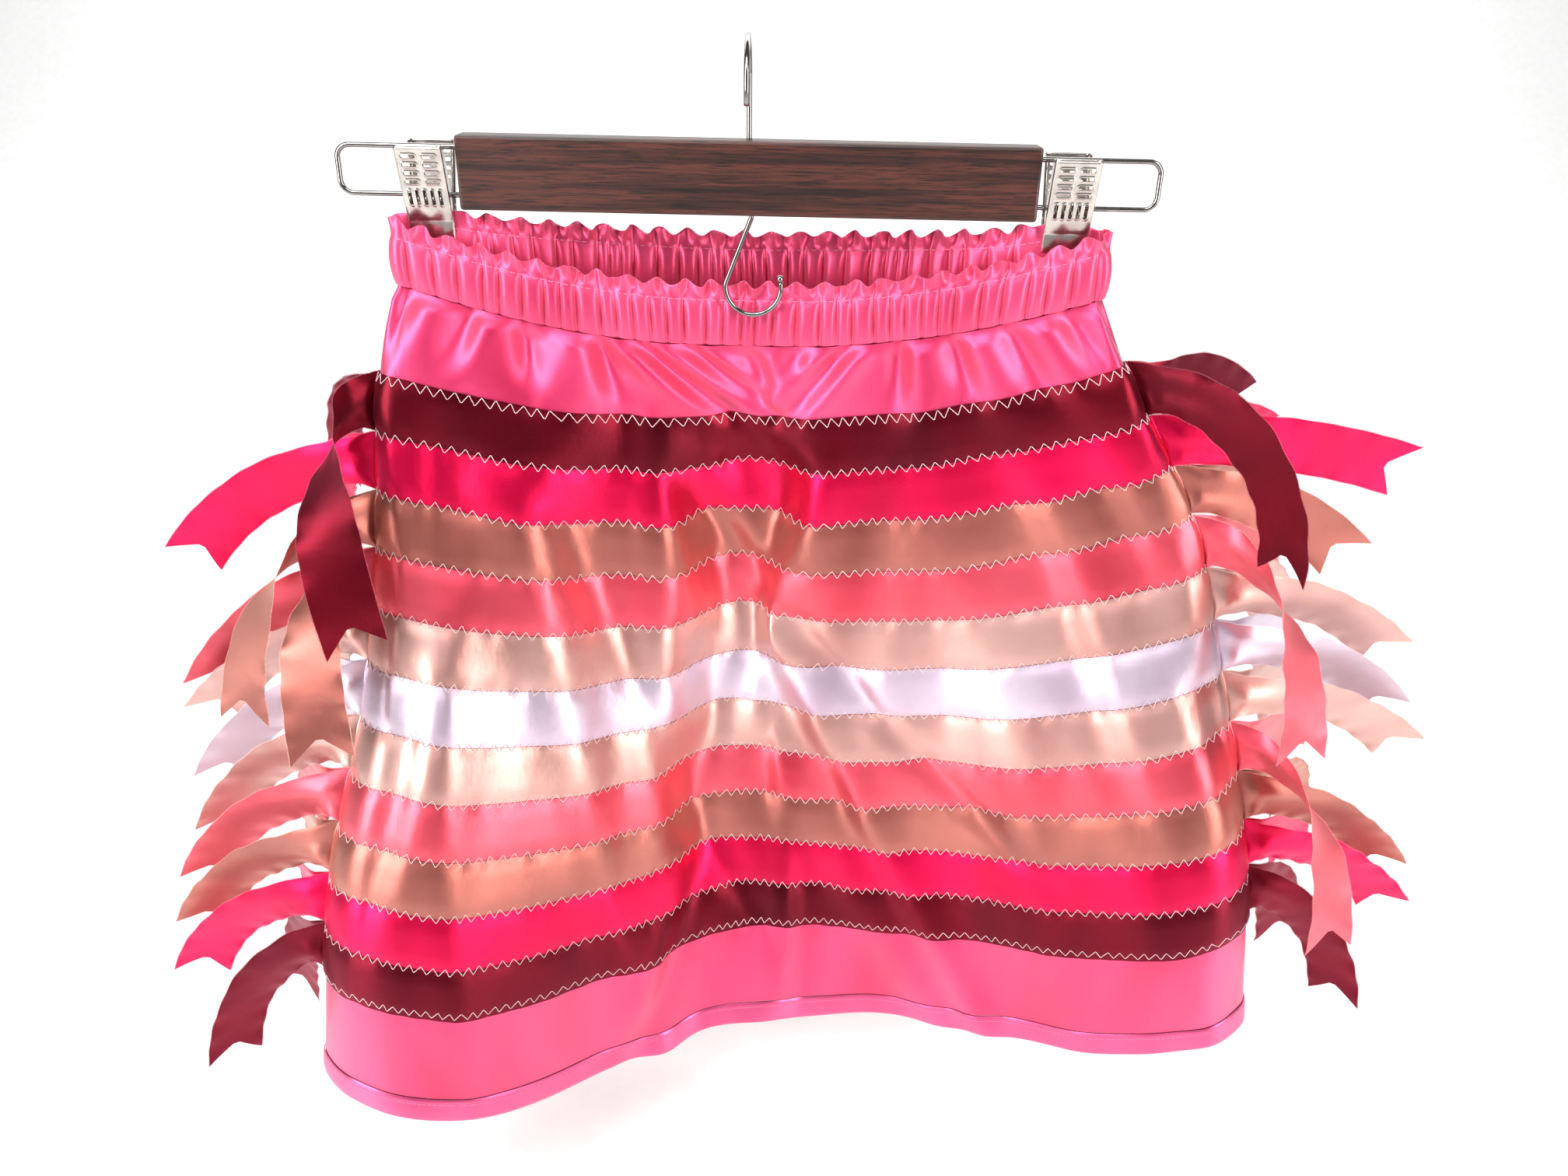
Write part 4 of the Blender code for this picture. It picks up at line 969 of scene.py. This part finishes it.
class Finish:
    """A Principled material and the few node patterns that the finishes here are made of."""

    def __init__(self, name, **inputs):
        self.material = bpy.data.materials.new(name)
        self.material.use_nodes = True
        self.tree = self.material.node_tree
        self.shader = next(n for n in self.tree.nodes if n.type == "BSDF_PRINCIPLED")
        for label, value in inputs.items():
            self.shader.inputs[label.replace("_", " ")].default_value = value

    def node(self, kind, **settings):
        node = self.tree.nodes.new("ShaderNode" + kind)
        for key, value in settings.items():
            setattr(node, key, value)
        return node

    def link(self, out, into):
        self.tree.links.new(out, into)

    def coordinates(self, scale, source="Object", rotation=(0, 0, 0)):
        place = self.node("TexCoord")
        mapping = self.node("Mapping")
        mapping.inputs["Scale"].default_value = scale
        mapping.inputs["Rotation"].default_value = rotation
        self.link(place.outputs[source], mapping.inputs["Vector"])
        return mapping.outputs["Vector"]

    def noise(self, vector, scale=1.0, detail=3.0, rough=0.55, distortion=0.0):
        node = self.node("TexNoise")
        for label, value in (("Scale", scale), ("Detail", detail), ("Roughness", rough),
                             ("Distortion", distortion)):
            node.inputs[label].default_value = value
        self.link(vector, node.inputs["Vector"])
        return node.outputs["Fac"]

    def wave(self, vector, scale, distortion=0.0, direction="X"):
        node = self.node("TexWave", wave_type="BANDS", bands_direction=direction)
        node.inputs["Scale"].default_value = scale
        node.inputs["Distortion"].default_value = distortion
        self.link(vector, node.inputs["Vector"])
        return node.outputs["Fac"]

    def colours(self, factor, stops):
        node = self.node("ValToRGB")
        ramp_stops = node.color_ramp.elements
        while len(ramp_stops) < len(stops):
            ramp_stops.new(0.5)
        for stop, (place, colour) in zip(ramp_stops, stops):
            stop.position, stop.color = place, colour
        self.link(factor, node.inputs["Fac"])
        return node.outputs["Color"]

    def remap(self, factor, low, high):
        node = self.node("MapRange")
        node.inputs["To Min"].default_value = low
        node.inputs["To Max"].default_value = high
        self.link(factor, node.inputs["Value"])
        return node.outputs["Result"]

    def mix(self, factor, first, second, blend="MIX"):
        node = self.node("Mix", data_type="RGBA", blend_type=blend)
        for value, socket in ((factor, node.inputs[0]), (first, node.inputs[6]),
                              (second, node.inputs[7])):
            if isinstance(value, (int, float, tuple)):
                socket.default_value = value
            else:
                self.link(value, socket)
        return node.outputs[2]

    def bump(self, height, strength, distance, before=None):
        node = self.node("Bump")
        node.inputs["Strength"].default_value = strength
        node.inputs["Distance"].default_value = distance
        self.link(height, node.inputs["Height"])
        if before is not None:
            self.link(before, node.inputs["Normal"])
        return node.outputs["Normal"]


def satin(name, body, light, shade_tone, rough=0.36, metallic=0.8, weave=0.3, gloss=0.75):
    """Woven satin: fine floats along the cloth, patches of painted shade over a slight uneven tone,
    a painted sheen at grazing angles, and a gloss drawn out across it.
    """
    f = Finish(name, Metallic=metallic, Specular_IOR_Level=0.6, Anisotropic=gloss,
               Anisotropic_Rotation=0.25, Sheen_Weight=0.08, Sheen_Roughness=0.4)
    f.shader.inputs["Sheen Tint"].default_value = light
    f.shader.inputs["Specular Tint"].default_value = tuple((1 + c) / 2 for c in light)
    patches = f.noise(f.coordinates((24, 9, 1), "UV"), 1.0, 1.5)
    threads = f.noise(f.coordinates((300, 5200, 1), "UV"), 1.0, 2.0)
    # Random patches pulled toward the shade tone: mostly painted shade, with a little uneven tone.
    tone_and_shade = f.mix(f.remap(patches, -0.75, 1.25), body, shade_tone)
    threaded = f.mix(f.remap(threads, 0.0, 0.18), tone_and_shade, shade_tone, "MULTIPLY")
    layer = f.node("LayerWeight")
    layer.inputs["Blend"].default_value = 0.35
    # Base colour lightened toward the lit colour at grazing angles: painted sheen.
    painted_sheen = f.mix(f.remap(layer.outputs["Facing"], 0.0, 0.5), threaded, light)
    f.link(painted_sheen, f.shader.inputs["Base Color"])
    f.link(f.remap(threads, rough - 0.05, rough + 0.09), f.shader.inputs["Roughness"])
    tangent = f.node("Tangent", direction_type="UV_MAP", uv_map="cloth")
    f.link(tangent.outputs["Tangent"], f.shader.inputs["Tangent"])
    weft = f.wave(f.coordinates((1, 1, 0), "UV", (0, 0, math.radians(20))), 480, 0.6, "Y")
    crumple = f.noise(f.coordinates((210, 130, 1), "UV"), 1.0, 2.0)
    first = f.bump(crumple, 0.10, 0.0012)
    f.link(f.bump(f.mix(0.5, weft, threads), weave, 0.00008, first), f.shader.inputs["Normal"])
    return f.material


def thread(name, body, shade):
    """Twisted sewing thread."""
    f = Finish(name, Sheen_Weight=0.3)
    twist = f.wave(f.coordinates((1, 1, 1), "Object", (0.6, 0.4, 0.8)), 700, 1.0)
    f.link(f.mix(twist, shade, body), f.shader.inputs["Base Color"])
    f.link(f.remap(twist, 0.5, 0.7), f.shader.inputs["Roughness"])
    f.link(f.bump(twist, 0.4, 0.0001), f.shader.inputs["Normal"])
    return f.material


def chrome(name, body, rough, brushed=(900, 900, 900)):
    """Bright plated metal with fine polishing marks and a few duller patches."""
    f = Finish(name, Metallic=1.0)
    dull = f.noise(f.coordinates((120, 120, 120)), 1.0, 3.0)
    marks = f.noise(f.coordinates(brushed), 1.0, 4.0)
    f.link(f.colours(dull, [(0.3, tuple(c * 0.72 for c in body[:3]) + (1.0,)), (0.65, body)]),
           f.shader.inputs["Base Color"])
    f.link(f.remap(marks, rough * 0.7, rough * 1.5), f.shader.inputs["Roughness"])
    f.link(f.bump(marks, 0.12, 0.00006), f.shader.inputs["Normal"])
    return f.material


def walnut(name):
    """Dark stained wood with long grain along the bar and open pores."""
    f = Finish(name, Specular_IOR_Level=0.45, Coat_Weight=0.15, Coat_Roughness=0.3)
    grain = f.noise(f.coordinates((9, 120, 260)), 1.0, 5.0, 0.6, 0.25)
    pores = f.noise(f.coordinates((60, 700, 1500)), 1.0, 3.0, 0.7)
    wood = f.colours(grain, [(0.30, linear(30, 14, 11)), (0.46, linear(56, 26, 20)),
                             (0.58, linear(80, 38, 28)), (0.72, linear(44, 20, 15))])
    pored = f.mix(f.colours(pores, [(0.38, (1, 1, 1, 1)), (0.50, (0, 0, 0, 1))]), wood,
                  linear(16, 8, 6))
    f.link(pored, f.shader.inputs["Base Color"])
    f.link(f.remap(grain, 0.34, 0.55), f.shader.inputs["Roughness"])
    f.link(f.bump(f.mix(0.6, grain, pores), 0.35, 0.0003), f.shader.inputs["Normal"])
    return f.material


# ---- putting it together -----------------------------------------------------------------------
def area_light(name, place, target, width, height, watts, colour=(1, 1, 1)):
    light = bpy.data.lights.new(name, "AREA")
    light.shape, light.size, light.size_y, light.energy = "RECTANGLE", width, height, watts
    light.color = colour
    lamp = bpy.data.objects.new(name, light)
    bpy.context.scene.collection.objects.link(lamp)
    lamp.location = place
    way = Vector(target) - Vector(place)
    lamp.rotation_euler = way.to_track_quat("-Z", "Y").to_euler()


def studio():
    """Camera, soft light from both sides and above, and a plain pale floor."""
    scene = bpy.context.scene
    lens = bpy.data.cameras.new("camera")
    lens.lens, lens.sensor_width = CAMERA_LENS, 36.0
    camera = bpy.data.objects.new("camera", lens)
    scene.collection.objects.link(camera)
    camera.matrix_world = (Matrix.Translation(CAMERA_PLACE)
                           @ Matrix.Rotation(math.radians(CAMERA_TILT), 4, "X")
                           @ Matrix.Rotation(math.radians(CAMERA_ROLL), 4, "Z"))
    scene.camera = camera
    scene.view_settings.view_transform = "Standard"

    world = bpy.data.worlds.new("studio")
    world.use_nodes = True
    scene.world = world
    back = next(n for n in world.node_tree.nodes if n.type == "BACKGROUND")
    back.inputs["Color"].default_value = (1.0, 0.985, 0.97, 1.0)
    back.inputs["Strength"].default_value = 0.15
    sun = bpy.data.lights.new("daylight", "SUN")
    sun.energy, sun.angle = 0.6, math.radians(30)
    day = bpy.data.objects.new("daylight", sun)
    scene.collection.objects.link(day)
    day.rotation_euler = (math.radians(38), math.radians(-22), 0)
    area_light("left_window", (-0.75, -0.65, 0.15), (-0.05, 0.0, -0.2), 0.42, 0.9, 11.0,
               (1.0, 0.98, 0.95))
    area_light("right_window", (0.8, -0.55, 0.05), (0.1, 0.0, -0.25), 0.35, 0.9, 8.0,
               (1.0, 0.95, 0.9))
    area_light("behind", (0.0, 1.5, 1.2), (0.0, 1.45, -0.5), 4.0, 1.8, 66)
    area_light("over", (-0.1, -0.6, 0.75), (0.0, -0.05, -0.1), 0.9, 0.35, 7.0)

    floor = Finish("paper", Specular_IOR_Level=0.2)
    tooth = floor.noise(floor.coordinates((60, 60, 60)), 1.0, 4.0)
    floor.link(floor.colours(tooth, [(0.3, (0.86, 0.86, 0.86, 1)), (0.7, (0.9, 0.9, 0.9, 1))]),
               floor.shader.inputs["Base Color"])
    floor.link(floor.remap(tooth, 0.7, 0.9), floor.shader.inputs["Roughness"])
    mesh = bpy.data.meshes.new("floor")
    low = CAD_BOX[0][2] - FLOOR_DROP
    sweep = [(-9.0, low)] + [(2.0 + math.sin(turn), low + 1.0 - math.cos(turn))
                             for turn in np.linspace(0, math.pi / 2, 17)] + [(3.0, low + 6.0)]
    mesh.from_pydata([(x, y, z) for y, z in sweep for x in (-9, 9)], [],
                     [(2 * k, 2 * k + 1, 2 * k + 3, 2 * k + 2) for k in range(len(sweep) - 1)])
    mesh.shade_smooth()
    mesh.materials.append(floor.material)
    ground = bpy.data.objects.new("floor", mesh)
    scene.collection.objects.link(ground)


# Ribbons from the top, by the name of their slot without "ribbon_". Below: each satin's body, its
# lit colour (painted sheen) and its shade tone (painted shade in patches), as display values.
RIBBON_ROWS = ("burgundy", "hot_pink", "rose_gold", "coral", "champagne", "white", "champagne",
               "coral", "rose_gold", "hot_pink", "burgundy")
RIBBON_SATINS = {
    "burgundy": ((112, 6, 28), (190, 70, 96), (46, 1, 10)),
    "hot_pink": ((236, 10, 80), (255, 90, 150), (170, 2, 36)),
    "rose_gold": ((190, 112, 102), (246, 200, 184), (122, 52, 48)),
    "coral": ((242, 96, 116), (255, 180, 182), (206, 36, 62)),
    "champagne": ((220, 176, 168), (250, 226, 218), (172, 106, 102)),
    "white": ((226, 212, 228), (250, 242, 250), (190, 160, 184)),
}


def build():
    studio()
    pink = satin("pink_satin", linear(240, 74, 128), linear(255, 186, 210),
                 linear(196, 24, 74), 0.40, 0.65, 0.3, 0.3)
    band = satin("waistband_satin", linear(236, 80, 128), linear(255, 180, 206),
                 linear(190, 28, 76), 0.38, 0.55, 0.3, 0.2)
    hem = satin("hem_satin", linear(236, 96, 150), linear(255, 184, 212),
                linear(206, 60, 118), 0.32)
    satins = {name: satin("satin_" + name, *(linear(*colour) for colour in colours))
              for name, colours in RIBBON_SATINS.items()}
    edge_threads = {name: thread("edge_" + name, linear(*colours[1]), linear(*colours[0]))
                    for name, colours in RIBBON_SATINS.items()}
    white_thread = thread("white_thread", linear(244, 222, 222), linear(196, 150, 156))
    pink_thread = thread("pink_thread", linear(250, 150, 190), linear(214, 84, 132))
    wire = chrome("chrome_wire", linear(158, 155, 153), 0.13)
    steel = chrome("clip_steel", linear(206, 200, 194), 0.22, (500, 500, 1400))
    wood = walnut("walnut")

    for layer in (FRONT, BACK):
        cloth = Cloth(layer)
        panel(cloth, pink)
        edging = {row: [] for row in RIBBON_SATINS}
        for number, row in enumerate(RIBBON_ROWS):
            ribbon(cloth, number, satins[row], edging[row])
        for row, edges in edging.items():
            looped_edging(layer, row, edges, edge_threads[row])
        zigzag(cloth, white_thread)
        waistband(cloth, band, pink_thread)
        hem_band(cloth, hem, pink_thread)
    wires(wire)
    springs(steel)
    for side, name in ((-1, "left"), (1, "right")):
        for facing in (-1, 1):
            clip_plate(side, facing, name, steel)
    bar = frame["nodes"]["wood_bar"]
    for slot in bar.material_slots:
        slot.material = wood


build()
